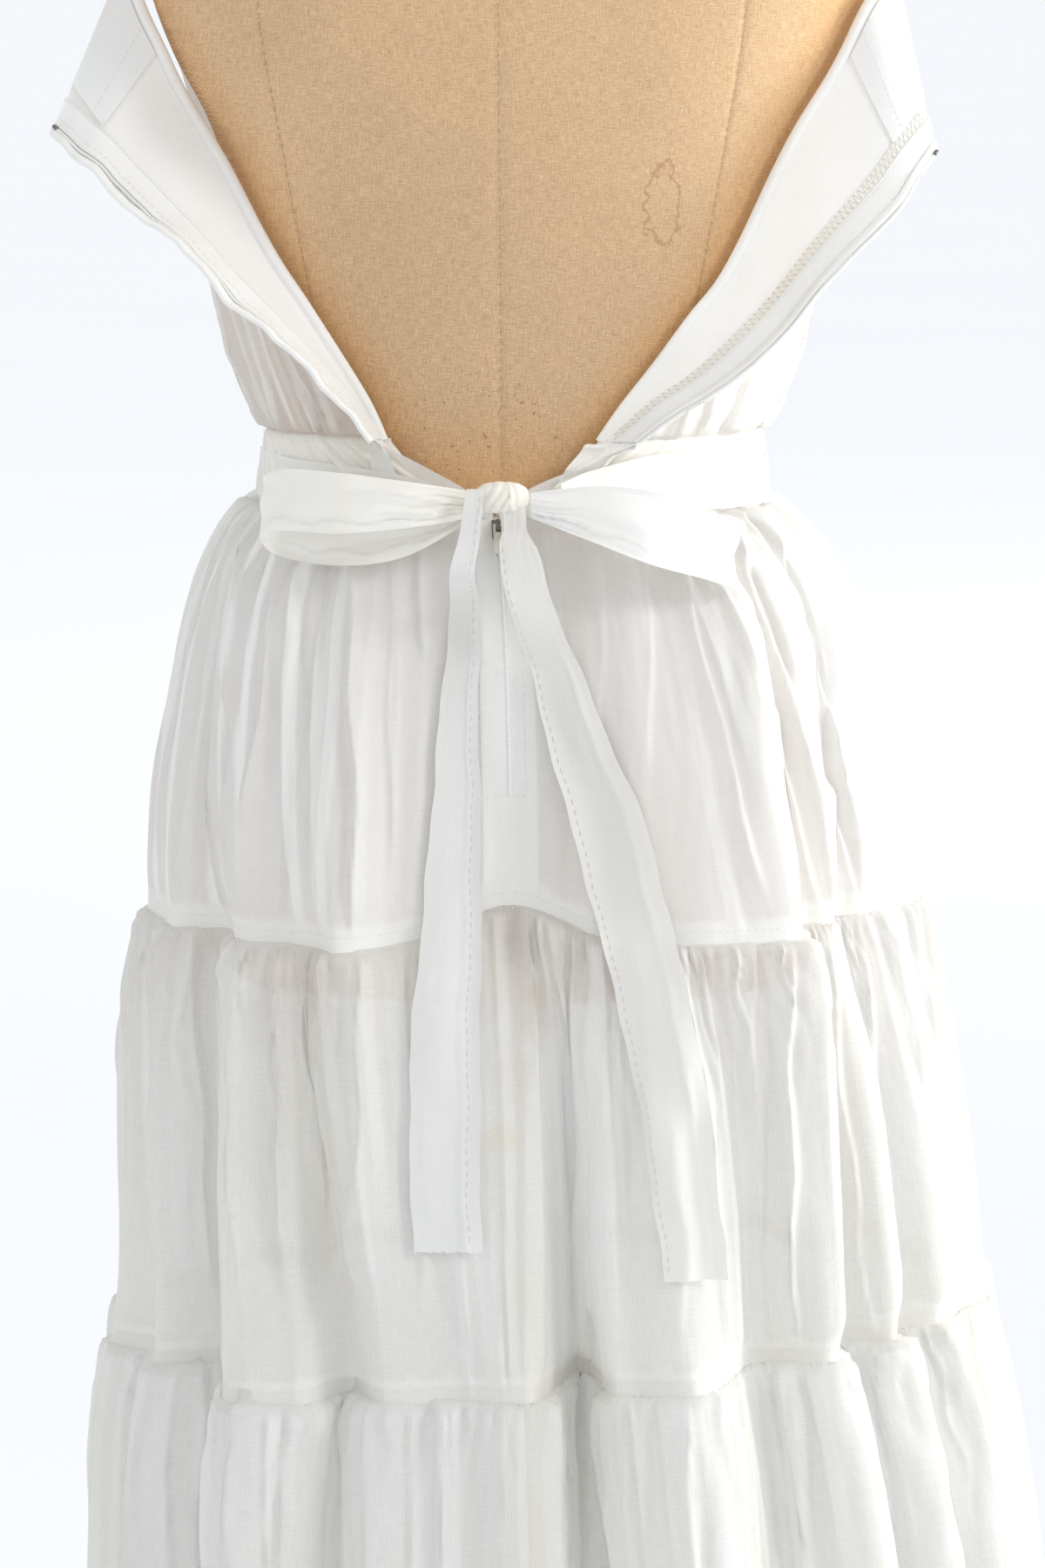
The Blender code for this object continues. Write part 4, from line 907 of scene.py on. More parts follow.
# ---------------------------------------------------------------- dress form and stand
PRINCESS = (  # height, distance of the seam from the middle
    (-25.5, 8.6), (-12.0, 8.5), (0.0, 8.1), (8.4, 9.35), (15.0, 10.5), (22.7, 11.65), (29.0, 11.6),
    (34.0, 8.6), (38.5, 5.0), (43.0, 4.4),
)
FORM_ROWS = 150
SEAM_GROOVE = 0.07
FOLD_LINE_LEFT = [(row[1], row[0]) for row in FLAP_LEFT]
FOLD_LINE_RIGHT = [(row[1], row[0]) for row in FLAP_RIGHT]


def form_columns(height):
    """Angles of the torso's columns at a height, crowded near its seams, and how near each is."""
    reach = column(PRINCESS, height, 1)
    back = float(form_angle(reach, height))
    keys = [0, back, 90, 180 - back, 180, 180 + back, 270, 360 - back, 360]
    angles = []
    for low, high in zip(keys[:-1], keys[1:]):
        t = np.linspace(0, 1, 25)[:-1]
        t = 0.5 - 0.5 * np.cos(math.pi * t)
        angles.append(low + (high - low) * t)
    angles = np.concatenate(angles)
    gaps = np.min([np.abs(angles - key) for key in keys], axis=0)
    return angles, gaps * math.radians(1) * 12.0


def build_torso():
    heights = np.linspace(FORM[0][0], FORM[-1][0], FORM_ROWS)
    grid = []
    near = []
    for height in heights:
        angles, gap = form_columns(height)
        groove = -SEAM_GROOVE * np.exp(-(gap / 0.10) ** 2)
        row = form_point(angles, height, groove)
        grid.append(row)
        x = row[:, 0]
        # painted shade on the linen: strongest at the fold lines and low near the waist, on the back
        # only
        left = straight(FOLD_LINE_LEFT, height, 1) - x
        right = x - straight(FOLD_LINE_RIGHT, height, 1)
        off = np.minimum(left, right)
        share = 1 - ease(off, -0.5, 3.2)
        low = 1 - ease(height, -1.0, 4.0)
        near.append(np.where((row[:, 1] > 0) & (height < 26), np.maximum(share, 0.6 * low), 0.0))
    grid = np.array(grid)
    rows, columns = grid.shape[:2]
    points = world(grid.reshape(-1, 3)).tolist()
    faces = quads(rows, columns, closed=True)
    for ring, height in ((0, heights[0]), (rows - 1, heights[-1])):
        centre = len(points)
        points.append(tuple(world((0.0, 0.0, height))))
        for k in range(columns):
            a = ring * columns + k
            b = ring * columns + (k + 1) % columns
            faces.append((b, a, centre) if ring == 0 else (a, b, centre))
    thing = make_object("form_linen_torso", points, faces)
    set_mark(thing.data, "painted_shade_near_cloth", np.concatenate((np.array(near).reshape(-1), (0.0, 0.0))))
    settle(thing, "linen", node=("form_torso",))
    paths = []
    heights = np.linspace(-24.5, 42.0, 400)
    for sign, back in ((0, 1), (1, 1), (-1, 1), (0, -1), (1, -1), (-1, -1)):
        x = sign * column(PRINCESS, heights, 1)
        angle = np.where(sign == 0, 90.0, form_angle(x, heights))
        line = form_point(angle if back > 0 else 360 - angle, heights, 0.0)
        paths += stitch_paths(line, 0.34, 0.12, 0.015 * back, seed=3)
    tubes("form_seam_stitches", paths, 0.014, 3, "seam_thread", taper=True)


def finish_nodes():
    """The turned and hard parts keep their solids and get their finish."""
    finish = {"form_neck_cap": "wood", "stand_pole": "enamel", "stand_base": "enamel",
              "zip_slider": "dark_metal", "zip_pull": "bright_metal", "zip_stop_left": "dark_metal",
              "zip_stop_right": "dark_metal"}
    for node, look in finish.items():
        for spot in frame["nodes"][node].material_slots:
            spot.material = LOOKS[look]


# ---------------------------------------------------------------- skirt
PANELS = (
    ("back_left", SIDE_LEFT_FOLD, CENTRE_BACK_FOLD),
    ("back_right", CENTRE_BACK_FOLD, SIDE_RIGHT_FOLD),
    ("front", SIDE_RIGHT_FOLD, len(FOLDS)),
)
TIER_ROWS = (76, 84, 66, 60)
TIER_SPACING = (0.125, 0.14, 0.19, 0.27)
ALLOWANCE = 1.25           # doubled cloth above each seam
ALLOWANCE_ROWS = 4
CREASES = {  # tier: x and height at both ends, depth, raised side, width of the gentle side
    0: ((7.1, -2.6, 6.7, -21.9, 0.42, -1, 1.6), (3.7, -2.6, 3.6, -8.6, 0.20, -1, 1.0),
        (10.4, -3.0, 12.8, -21.5, 0.34, -1, 1.0), (9.5, -3.0, 10.3, -21.7, 0.22, 1, 0.9),
        (11.8, -2.4, 14.6, -21.7, 0.34, -1, 0.9), (13.1, -3.0, 16.3, -22.0, 0.30, -1, 0.9),
        (8.3, -2.4, 8.5, -14.0, 0.16, 1, 0.8), (5.2, -2.6, 5.0, -19.0, 0.10, -1, 1.2),
        (-9.6, -1.8, -15.6, -21.2, 0.34, 1, 1.2), (-10.9, -1.8, -17.3, -21.6, 0.36, 1, 1.0),
        (-12.5, -2.4, -18.5, -21.7, 0.30, 1, 1.0), (-8.2, -2.0, -12.9, -20.0, 0.20, 1, 1.0),
        (-7.0, -2.9, -7.4, -14.0, 0.12, 1, 1.2), (-5.0, -2.9, -4.8, -18.0, 0.08, 1, 1.2)),
    1: ((15.1, -22.5, 14.2, -41.1, 0.40, 1, 1.0), (12.6, -22.3, 11.9, -39.7, 0.40, -1, 0.9),
        (10.3, -22.4, 9.9, -38.7, 0.36, -1, 1.0), (6.5, -22.5, 6.2, -38.7, 0.42, -1, 1.2),
        (8.4, -22.5, 8.0, -36.0, 0.20, 1, 0.9), (3.6, -23.0, 3.2, -39.0, 0.18, -1, 1.2),
        (-2.9, -23.4, -4.4, -41.6, 0.40, -1, 0.9), (-5.4, -23.0, -6.2, -40.0, 0.16, 1, 1.2),
        (-8.6, -22.6, -9.2, -40.0, 0.22, 1, 1.3), (-12.2, -21.9, -13.0, -36.9, 0.30, 1, 0.9),
        (-13.9, -22.1, -14.6, -42.3, 0.42, 1, 1.0), (-15.7, -22.4, -18.4, -43.3, 0.36, 1, 0.9),
        (-17.4, -23.5, -19.4, -42.5, 0.34, 1, 0.8), (-18.9, -22.1, -21.8, -44.2, 0.30, 1, 0.8)),
    2: ((14.6, -41.6, 15.4, -66.0, 0.40, 1, 1.1), (11.9, -40.6, 12.6, -66.0, 0.40, -1, 1.0),
        (6.4, -40.6, 6.0, -66.0, 0.40, -1, 1.3), (2.4, -41.6, 2.0, -66.0, 0.30, -1, 1.3),
        (-4.6, -43.6, -5.6, -66.0, 0.40, -1, 1.2), (-9.6, -43.6, -10.6, -66.0, 0.30, 1, 1.3),
        (-14.6, -43.6, -16.4, -66.0, 0.42, 1, 1.1), (-18.4, -44.6, -20.8, -66.0, 0.36, 1, 1.0)),
    3: (),
}
GATHERS = (  # for each tier: spacing, depth and fade of its fine, middling and broad gathers
    ((0.62, 0.18, 4.5), (1.4, 0.36, 13.0), (3.2, 0.36, 22.0)),
    ((0.60, 0.28, 3.6), (1.3, 0.32, 9.0), (3.6, 0.34, 16.0)),
    ((0.66, 0.30, 3.6), (1.5, 0.32, 8.0), (4.4, 0.42, 18.0)),
    ((0.90, 0.34, 3.0), (2.1, 0.38, 8.0), (5.0, 0.45, 22.0)),
)
PLEATS = ((1.15, 0.24, 0.9), (1.5, 0.27, 1.0), (1.9, 0.30, 1.2), (2.4, 0.32, 1.4))
SEAT_EASE = (6.5, 11.0)     # the seat is smooth between these distances from the middle
PLACKET_REACH = 1.6
PLACKET_OPEN = 0.5
# one voile, lighter on the seat and darker tier by tier below it: painted light and painted shade
TIER_LOOKS = ("seat", "voile", "voile_painted_shade", "voile_painted_shade")
CREASE_DEPTH = 1.35
CREASE_SHARPNESS = 0.15      # width of a crease's steep side
COVER_CELL = 0.35
WAIST_ALLOWANCE = 0.8


def crease(grid, top_x, top, low_x, low, depth, raised, width):
    """A pressed fold: steep on one side of its line, gentle on the other."""
    x, height = grid[..., 0], grid[..., 2]
    t = (height - top) / (low - top)
    line = top_x + (low_x - top_x) * t + 0.12 * np.sin(height * 0.7 + top_x * 3.0)
    off = (x - line) * raised
    steep = np.exp(-(off / CREASE_SHARPNESS) ** 2)
    shape = np.where(off > 0, np.exp(-np.maximum(off, 0) / width), steep)
    fade = ease(t, -0.06, 0.10) * (1 - ease(t, 0.80, 1.03))
    return np.where(grid[..., 1] > 0, CREASE_DEPTH * depth * shape * fade, 0.0)


def tier_panel(tier, side, first, last):
    seed = 10 * tier + first
    placket = tier == 0 and side != "front"
    fine = np.linspace(first, last, 1500)
    low_end = TIERS[tier + 1][1] if tier + 1 < len(TIERS) else HEM_HEIGHT
    middle = (TIERS[tier][1] + low_end) / 2
    run = length_along(skirt_point(fine, np.full_like(fine, middle)))
    spacing = TIER_SPACING[tier] * (1.0 if side != "front" else 1.9)
    count = int(run[-1] / spacing)
    across = np.linspace(0, run[-1], count + 1)
    place = np.interp(across, run, fine)
    top = seam_height(tier, place)
    low = seam_height(tier + 1, place)
    t = np.linspace(0, 1, TIER_ROWS[tier] + 1)[:, None]
    t = 0.72 * t + 0.28 * t ** 2
    height = top + (low - top) * t
    above = np.linspace(0.85 if tier else WAIST_ALLOWANCE, 0.2, ALLOWANCE_ROWS)[:, None]
    height = np.concatenate((top + above, height))
    grid = skirt_point(np.broadcast_to(place, height.shape), height)
    face = outward(grid)
    below = np.maximum(top - height, 0.0)
    above_low = height - low
    edge = np.minimum(across, across[-1] - across)
    hold = ease(edge, 0.0, 1.2)
    calm = 1.0
    if tier == 0:
        calm = 0.22 + 0.78 * ease(np.abs(grid[..., 0] + 0.8), *SEAT_EASE)
        calm = np.where(grid[..., 1] > 0, calm, 1.0)
    everywhere = across + 0 * height
    relief = np.zeros_like(height)
    for n, (wide, depth, fade) in enumerate(GATHERS[tier]):
        relief += calm * pleats(everywhere, below, seed * 7 + n, wide, depth, fade)
    pressed, doubled = long_pleats(everywhere, below, seed + 2, *PLEATS[tier])
    relief += pressed * calm
    relief += streaks(everywhere, height, seed + 3, 2.3, 0.11, 9.0) * calm ** 0.5
    relief += crumple(everywhere, height * 0.3, seed + 5, 5.0, 0.022)
    if side != "front":
        for row in CREASES[tier]:
            relief += crease(grid, *row)
    seamward = ease(above_low, 0.1, 1.8) if tier < len(TIERS) - 1 else 1.0
    relief = relief * hold * (0.12 + 0.88 * seamward)
    inside = ease(height, top, top + 0.25)
    relief = relief * (1 - 0.75 * inside) - 0.11 * inside
    grid = grid + face * relief[..., None]
    if placket:
        sign = 1 if last == CENTRE_BACK_FOLD else -1
        from_back = across[-1] - across if sign > 0 else across
        half = np.where(height > -9.6, PLACKET_OPEN * straight(PLACKET, height, 1), 0.0)
        grid[..., 0] += sign * half * (1 - ease(from_back, 0.0, PLACKET_REACH))
    ragged = above_low + 0.06 * np.sin(across * 3.1)
    layers = 0.6 * (1 - ease(ragged, ALLOWANCE - 0.10, ALLOWANCE + 0.03))
    layers = np.maximum(layers, doubled * np.minimum(calm * 1.2, 1.0) * (0.5 if tier else 1.0))
    if placket:
        layers = np.maximum(layers, 0.7 * (1 - ease(from_back, 1.25, 1.4)))
    x, z = grid[..., 0], grid[..., 2]
    # painted warm shade in the fold valleys and on flat cloth, none on the ridges; then the real stains
    stain_and_fold_shade = 0.10 * (1 - ease(relief, -0.02, 0.22))
    if side != "front":
        for cx, cz, rx, rz, amount in SKIRT_STAINS:
            off = np.hypot((x - cx) / rx, (z - cz) / rz) + 0.15 * np.sin(x * 4.0 + z * 2.3)
            stain_and_fold_shade += amount * (1 - ease(off, 0.55, 1.15))
    name = f"skirt_{TIERS[tier][0]}_{side}"
    cloth(name + "_cloth", grid, TIER_LOOKS[tier], (name,), across=across,
          marks={"layers": np.clip(layers, 0, 1), "stain_and_fold_shade": np.clip(stain_and_fold_shade, 0, 1)})
    return grid


SKIRT_STAINS = (  # x, height, half width, half height, strength
    (-0.5, -30.8, 0.9, 0.8, 0.35), (-1.8, -25.1, 0.9, 1.6, 0.30), (-1.3, -28.0, 0.8, 1.4, 0.18),
    (8.7, -47.0, 0.10, 0.12, 1.0),
)


def build_skirt():
    grids = {}
    for tier in range(len(TIERS)):
        for side, first, last in PANELS:
            grids[tier, side] = tier_panel(tier, side, first, last)
    return grids


class Cover:
    """The outermost reach of the cloth behind the axis, over x and height."""

    def __init__(self, grids):
        points = np.concatenate([grid.reshape(-1, 3) for grid in grids])
        points = points[points[:, 1] > 0]
        self.low = points[:, (0, 2)].min(axis=0) - 1
        shape = ((points[:, (0, 2)].max(axis=0) + 1 - self.low) / COVER_CELL).astype(int) + 2
        self.map = np.full(shape, -99.0)
        spots = ((points[:, (0, 2)] - self.low) / COVER_CELL).astype(int)
        np.maximum.at(self.map, (spots[:, 0], spots[:, 1]), points[:, 1])
        wide = self.map.copy()
        for dx in (-1, 0, 1):
            for dz in (-1, 0, 1):
                wide = np.maximum(wide, np.roll(self.map, (dx, dz), axis=(0, 1)))
        self.map = wide

    def at(self, x, height):
        spot = (np.stack((x, height), axis=-1) - self.low) / COVER_CELL - 0.5
        base = np.clip(np.floor(spot).astype(int), 0, np.array(self.map.shape) - 2)
        t = np.clip(spot - base, 0, 1)
        i, j = base[..., 0], base[..., 1]
        a, b = t[..., 0], t[..., 1]
        return ((self.map[i, j] * (1 - a) + self.map[i + 1, j] * a) * (1 - b)
                + (self.map[i, j + 1] * (1 - a) + self.map[i + 1, j + 1] * a) * b)


# ---------------------------------------------------------------- bodice and its folded flaps
FINE_ROWS = 1201
FOLD_COLUMNS = 9             # of each flap, round its fold
PANEL_STATIONS = len(FLAP_LEFT) + len(NECK_BACK)
FLAP_ROWS = 170
STRAP_ROWS = 30
UNDER_ACROSS = 56
FLAP_ACROSS = 26
ROLL_STEPS = 7
ROLL_RADIUS = 0.15
BODICE_WIDTH = 12.0


def lie(angle, height, share, relief):
    side = straight(SIDE_EASE, height, 1)
    out = side + (straight(BODY_CLEAR, height, 1) - side) * share ** 1.6
    return form_point(angle, height, out + relief)


def bodice_relief(share, height, seed):
    """Gathers rising from the waist seam, spreading with the panel and dying out."""
    across = share * BODICE_WIDTH
    above = np.maximum(height - BODICE_LOW, 0.0)
    total = pleats(across, above, seed, 0.55, 0.30, 6.0)
    total += pleats(across, above, seed + 1, 1.3, 0.50, 11.0)
    total += pleats(across, above, seed + 2, 2.8, 0.30, 11.0)
    total += crumple(across, height, seed + 3, 6.0, 0.05)
    bias = 0.30 * (1 - ease(above, 6.0, 14.0))
    return (total - bias) * ease(share, 0.0, 0.05) * (1 - ease(share, 0.93, 1.0))


def bodice_layers(share, height, seed):
    above = np.maximum(height - BODICE_LOW, 0.0)
    _, doubled = long_pleats(share * BODICE_WIDTH, above, seed + 4, 0.75, 0.2, 0.55)
    return doubled * (1 - ease(above, 8.0, 15.0))


def panel_stations(table, side):
    inner = []
    for fold_x, height, *_ in table:
        clear = float(straight(BODY_CLEAR, height, 1))
        inner.append((float(form_angle(fold_x, height, clear)), height))
    for height, angle in NECK_BACK:
        angle = angle if side > 0 else 180 - angle
        inner.append((angle, height))
    return np.array(inner)


def flap_parts(table, side, seed):
    """The panel lying on the form, the part folded outward past the fold line, and its frame."""
    stations = panel_stations(table, side)
    arms = np.array(ARMHOLE_BACK)
    low = np.linspace(0, 1, FLAP_ROWS) ** 1.15 * (len(table) - 1)
    high = np.linspace(len(table) - 1, PANEL_STATIONS - 1, STRAP_ROWS + 1)[1:]
    rows = np.concatenate((low, high))
    keys = np.linspace(0, PANEL_STATIONS - 1, FINE_ROWS)
    angle, height = points_at(rows, keys, spread(stations, FINE_ROWS)).T
    arm_place = rows / (PANEL_STATIONS - 1) * (len(arms) - 1)
    arm_height, arm_angle = points_at(arm_place, np.arange(len(arms)), arms).T
    arm_angle = arm_angle if side > 0 else 180 - arm_angle
    share = np.linspace(0, 1, UNDER_ACROSS + 1)[None]
    angles = arm_angle[:, None] + (angle - arm_angle)[:, None] * share
    heights = arm_height[:, None] + (height - arm_height)[:, None] * share
    shares = share + 0 * angles
    under = lie(angles, heights, shares, bodice_relief(shares, heights, seed))
    layers = bodice_layers(shares, heights, seed)
    folds = under[:FLAP_ROWS, -1]
    along = unit(np.gradient(folds, axis=0))
    clear = straight(BODY_CLEAR, folds[:, 2], 1)
    foot = form_point(form_angle(folds[:, 0], folds[:, 2], clear), folds[:, 2])
    away = unit(folds - foot)
    inward = np.cross(away, along)
    inward *= (-side * np.sign(inward[:, :1]))
    edges = spread([row[2:] for row in table], FINE_ROWS)
    edge = points_at(low, np.linspace(0, len(table) - 1, FINE_ROWS), edges)
    turn = np.linspace(0, math.pi, FOLD_COLUMNS)[:, None, None]
    bend = folds + FOLD_RADIUS * (away * (1 - np.cos(turn)) + inward * np.sin(turn))
    start = bend[-1]
    part = np.linspace(0, 1, FLAP_ACROSS + 1)[1:, None, None]
    flat = start + (edge - start) * part
    grid = np.concatenate((bend, flat)).transpose(1, 0, 2)
    face = normals(grid)
    face *= np.sign(face[:, 12:13, 1:2])
    reach = np.concatenate((np.zeros(FOLD_COLUMNS), np.linspace(0, 1, FLAP_ACROSS + 1)[1:]))
    run = length_along(edge)
    wave = (0.11 * np.sin(run * 0.9 + seed) + 0.05 * np.sin(run * 2.1 + 2.0 * seed)
            + 0.02 * np.sin(run * 4.3 + seed)) * ease(run, 0.0, 2.0) * (1.0 if side > 0 else 0.3)
    relief = wave[:, None] * reach[None] ** 2.2
    relief = relief + crumple(reach[None] * 5.0, run[:, None], seed + 9, 5.0, 0.03) * reach[None]
    grid = grid + face * relief[..., None]
    return under, layers, grid, face, run


def laid_rows(flap, face, inner, outer, lift, count):
    """Rows lying on a flap between two distances from its free edge (outward is negative)."""
    last = flap[:, -1]
    back = unit(flap[:, -6] - last)
    spots = np.linspace(inner, outer, count)
    width = np.linalg.norm(flap[:, FOLD_COLUMNS - 1] - last, axis=-1)
    keep = np.minimum(1.0, 0.86 * width / np.maximum(inner, 1e-6))
    reach = spots[None] * np.where(spots[None] > 0, keep[:, None], 1.0)
    return last[:, None] + back[:, None] * reach[..., None] + face[:, -1:, :] * lift


def roll_edge(flap, face, run, reach, seed):
    """The seam allowance past the free edge, rolled over towards the back like a small hem."""
    last = flap[:, -1]
    out = unit(last - flap[:, -6])
    up = face[:, -1]
    wave = (0.07 * np.sin(run * 0.7 + seed) + 0.035 * np.sin(run * 1.7 + 1.7 * seed)
            + 0.010 * np.sin(run * 5.1)) * ease(run, 0.0, 1.0) * (1.0 if reach > 0.3 else 0.4)
    extent = reach + wave
    columns = [last + out * (extent * 0.5)[:, None]]
    for turn in np.linspace(-math.pi / 2, math.pi / 2, ROLL_STEPS):
        columns.append(last + out * (extent + ROLL_RADIUS * math.cos(turn))[:, None]
                       + up * ROLL_RADIUS * (1 + math.sin(turn)))
    columns.append(last + out * (extent - 0.12)[:, None] + up * ROLL_RADIUS * 1.9)
    columns.append(last + out * (extent - 0.26)[:, None] + up * ROLL_RADIUS * 1.6)
    return np.stack(columns, axis=1)


def tape_sheet(low, flap, face, lift, width, beyond, count=9):
    laid = laid_rows(flap, face, width, -beyond, lift, count)
    first = laid[0]
    lower = [np.array(row, dtype=float) for row in low]
    ends = [np.stack([row[:3] + (row[3:] - row[:3]) * k / (count - 1) for k in range(count)])
            for row in lower]
    stations = np.array([row.reshape(-1) for row in ends + [first, laid[8]]])
    joined = spread(stations, 34)[:-8].reshape(-1, count, 3)
    return np.concatenate((joined, laid[1:]))


ROLL_REACH = {1: 0.55, -1: 0.02}
TAPE_LIFT = 0.16
TAPE_EDGE = {1: 0.0, -1: 0.26}
LOW_TAPE_SINK = (0.0, 0.65, 0.35)
LOW_TAPE_ROWS = 26
LOW_TAPE_DROP = {1: 0.1, -1: 0.3}
TURN_ENDS = {  # inner x, height, outwards, then outer, from the flap down to the waist
    1: ((5.5, 0.9, 1.2, 6.5, 0.8, 1.15), (5.1, 0.1, 1.2, 6.2, -0.3, 1.1),
        (4.2, -0.6, 1.15, 5.2, -1.2, 1.05), (2.8, -1.2, 1.1, 3.6, -1.9, 1.0)),
    -1: ((-4.1, 1.45, 1.30, -6.0, 1.45, 1.30), (-3.35, 0.45, 1.30, -5.25, 0.75, 1.25),
         (-2.75, -0.45, 1.25, -4.7, 0.0, 1.20), (-2.2, -1.30, 1.20, -4.2, -0.75, 1.15)),
}
TURN_RUFFLE = {1: 0.05, -1: 0.11}
COIL_OUT = {1: 0.15, -1: 0.03}
OVERLOCK_WIDTH = 0.6


def turned_end(name, side, flap, seed):
    """The flap's lower end, still turned back as it runs down beside the zip to the waist."""
    across = 14
    first = flap[[4, 0]][:, FOLD_COLUMNS - 1:]
    share = np.linspace(0, 1, across)
    own = np.linspace(0, 1, first.shape[1])
    rows = [points_at(share, own, row) for row in first]
    for x0, h0, out0, x1, h1, out1 in TURN_ENDS[side]:
        x = x0 + (x1 - x0) * share
        height = h0 + (h1 - h0) * share
        out = out0 + (out1 - out0) * share
        rows.append(form_point(form_angle(x, height, out), height, out))
    stations = np.array(rows).reshape(len(rows), -1)
    grid = spread(stations, 90).reshape(-1, across, 3)
    face = normals(grid)
    face *= np.sign(face[:, 6:7, 1:2])
    run = length_along(grid[:, 0])
    ruffle = np.sin(run * 5.2 + seed + 0.8 * np.sin(run * 1.7)) * TURN_RUFFLE[side]
    ruffle = ruffle * ease(run, 0.3, 1.2)
    near = (1 - share[None]) ** 1.5
    sidewise = unit(grid[:, :1] - grid[:, 4:5])
    raised = (ruffle[:, None] * near * 1.2 + 0.04)[..., None]
    grid = grid + face * raised + sidewise * (ruffle[:, None] * near)[..., None]
    cloth(f"zip_end_{name}_cloth", grid, "inside",
          marks={"layers": 0.7 + 0.3 * near + 0 * run[:, None], "stain_and_fold_shade": 0.0})
    if side > 0:
        return
    line = grid[6:, -1] + face[6:, -1] * 0.08
    tubes(f"zip_end_{name}_cord", [line], CORD_RADIUS, 6, "nylon")
    coil = coil_path(line, face[:, -1].mean(axis=0), 0.055)
    tubes(f"zip_end_{name}_coil", [coil], COIL_STRAND, 4, "nylon")


def flap_layers(shape):
    """A flap is single cloth between its rounded fold and its rolled free edge."""
    place = np.arange(shape[1])
    # doubled cloth round the fold, carried on past the bend to lift the shade along the fold line: real
    # doubling and painted light
    fold = 0.6 * (1 - ease(place, 5, 17))
    last = FOLD_COLUMNS - 1 + FLAP_ACROSS
    edge = ease(place, last - 3, last)
    return np.broadcast_to(0.45 + 0.55 * np.maximum(fold, edge), shape[:2])


def build_back(name, table, low, side, seed):
    under, layers, flap, face, run = flap_parts(table, side, seed)
    roll = roll_edge(flap, face, run, ROLL_REACH[side], seed)
    whole = np.concatenate((flap, roll), axis=1)
    hem = under[:1] - unit(under[:1] * (1, 1, 0)) * 0.06 - np.array((0.0, 0.0, 0.30))
    layers = np.concatenate((layers[:1], layers))
    cloth(f"bodice_back_{name}_cloth", np.concatenate((hem, under)), "panel" if side > 0 else "seat",
          (f"bodice_back_{name}",), marks={"layers": layers, "stain_and_fold_shade": 0.10})
    cloth(f"bodice_back_{name}_flap", whole, "inside",
          marks={"layers": flap_layers(whole.shape), "stain_and_fold_shade": 0.0})
    drop = LOW_TAPE_DROP[side]
    low = [(x, y - drop, z - sink, u, v - drop, w - sink)
           for (x, y, z, u, v, w), sink in zip(low, LOW_TAPE_SINK)]
    tape = tape_sheet(low, flap, face, TAPE_LIFT, TAPE_WIDTH, TAPE_EDGE[side])
    cloth(f"zip_tape_{name}_weave", tape, "tape", (f"zip_tape_{name}",))
    last = tape[LOW_TAPE_ROWS:, -1]
    beyond = unit(last - tape[LOW_TAPE_ROWS:, -3])
    out = np.array((0.0, 1.0, 0.0))
    cord = last + beyond * COIL_OUT[side] + out * 0.03
    coil = coil_path(cord, out, COIL_RADIUS)
    tubes(f"zip_coil_{name}", [coil], COIL_STRAND, 4, "nylon")
    tubes(f"zip_cord_{name}", [cord], CORD_RADIUS, 6, "nylon")
    top = last[-1] + beyond[-1] * COIL_OUT[side] * 0.6 + out * 0.12
    stop = [top, top + unit(last[-8] - last[-1]) * 0.28]
    tubes(f"zip_end_stop_{name}", [stop], 0.10, 10, "dark_metal")
    edges = [tape[LOW_TAPE_ROWS:, 0] + out * 0.02, last - beyond * 0.05 + out * 0.04]
    tubes(f"zip_tape_{name}_selvedge", edges, 0.035, 5, "thread")
    seam = tape[:, -3] * 0.6 + tape[:, -4] * 0.4 + out * 0.03
    tubes(f"zip_tape_{name}_stitches", stitch_paths(seam, 0.22, 0.14, 0.02, seed), 0.016, 4,
          "thread", taper=True)
    turned_end(name, side, flap, seed)
    start = int(np.argmin(np.abs(flap[:, 0, 2] - table[FACING_FIRST_ROW][1])))
    body = flap[start:, FOLD_COLUMNS - 1:]
    lift = face[start:, FOLD_COLUMNS - 1:] * 0.13
    shares = np.linspace(0, FACING_REACH, 24)
    place = np.linspace(0, 1, body.shape[1])
    facing = np.array([points_at(shares, place, row) for row in body + lift])
    cloth(f"neck_facing_{name}_cloth", facing, "facing", (f"neck_facing_{name}",),
          marks={"layers": 1.0, "stain_and_fold_shade": 0.0})
    line = facing[int(len(facing) * 0.32)] + (0.0, 0.03, 0.0)
    tubes(f"neck_facing_{name}_stitches", stitch_paths(line, 0.2, 0.12, 0.02, seed), 0.014, 4,
          "thread", taper=True)
    first = under[2:105, 5]
    second = under[2:105, 8]
    off = unit(first * (1, 1, 0)) * 0.04
    tubes(f"overlock_side_{name}", overlock_paths(first + off, second + off, 0.15), 0.013, 4,
          "overlock")
    if side < 0:
        strip = laid_rows(flap, face, TAPE_WIDTH + OVERLOCK_WIDTH, TAPE_WIDTH - 0.2, 0.13, 6)
        strip = strip[6:-6]
        cloth("overlock_right_strip", strip, "cream",
              marks={"layers": 1.0, "stain_and_fold_shade": 0.1})
        zig = overlock_paths(strip[:, 0], strip[:, 3], 0.34)
        tubes("overlock_right_threads", zig, 0.018, 4, "thread")
    return {"tape": tape, "facing": facing}


def overlock_paths(first, second, pitch):
    """One thread looping back and forth between two lines."""
    run = length_along(first)
    count = int(run[-1] / pitch)
    place = np.linspace(0, run[-1], count * 6)
    one, two = points_at(place, run, first), points_at(place, run, second)
    swing = 0.5 + 0.5 * np.sin(place / pitch * math.tau)
    path = one + (two - one) * swing[:, None]
    path[:, 1] += 0.02
    return [path]


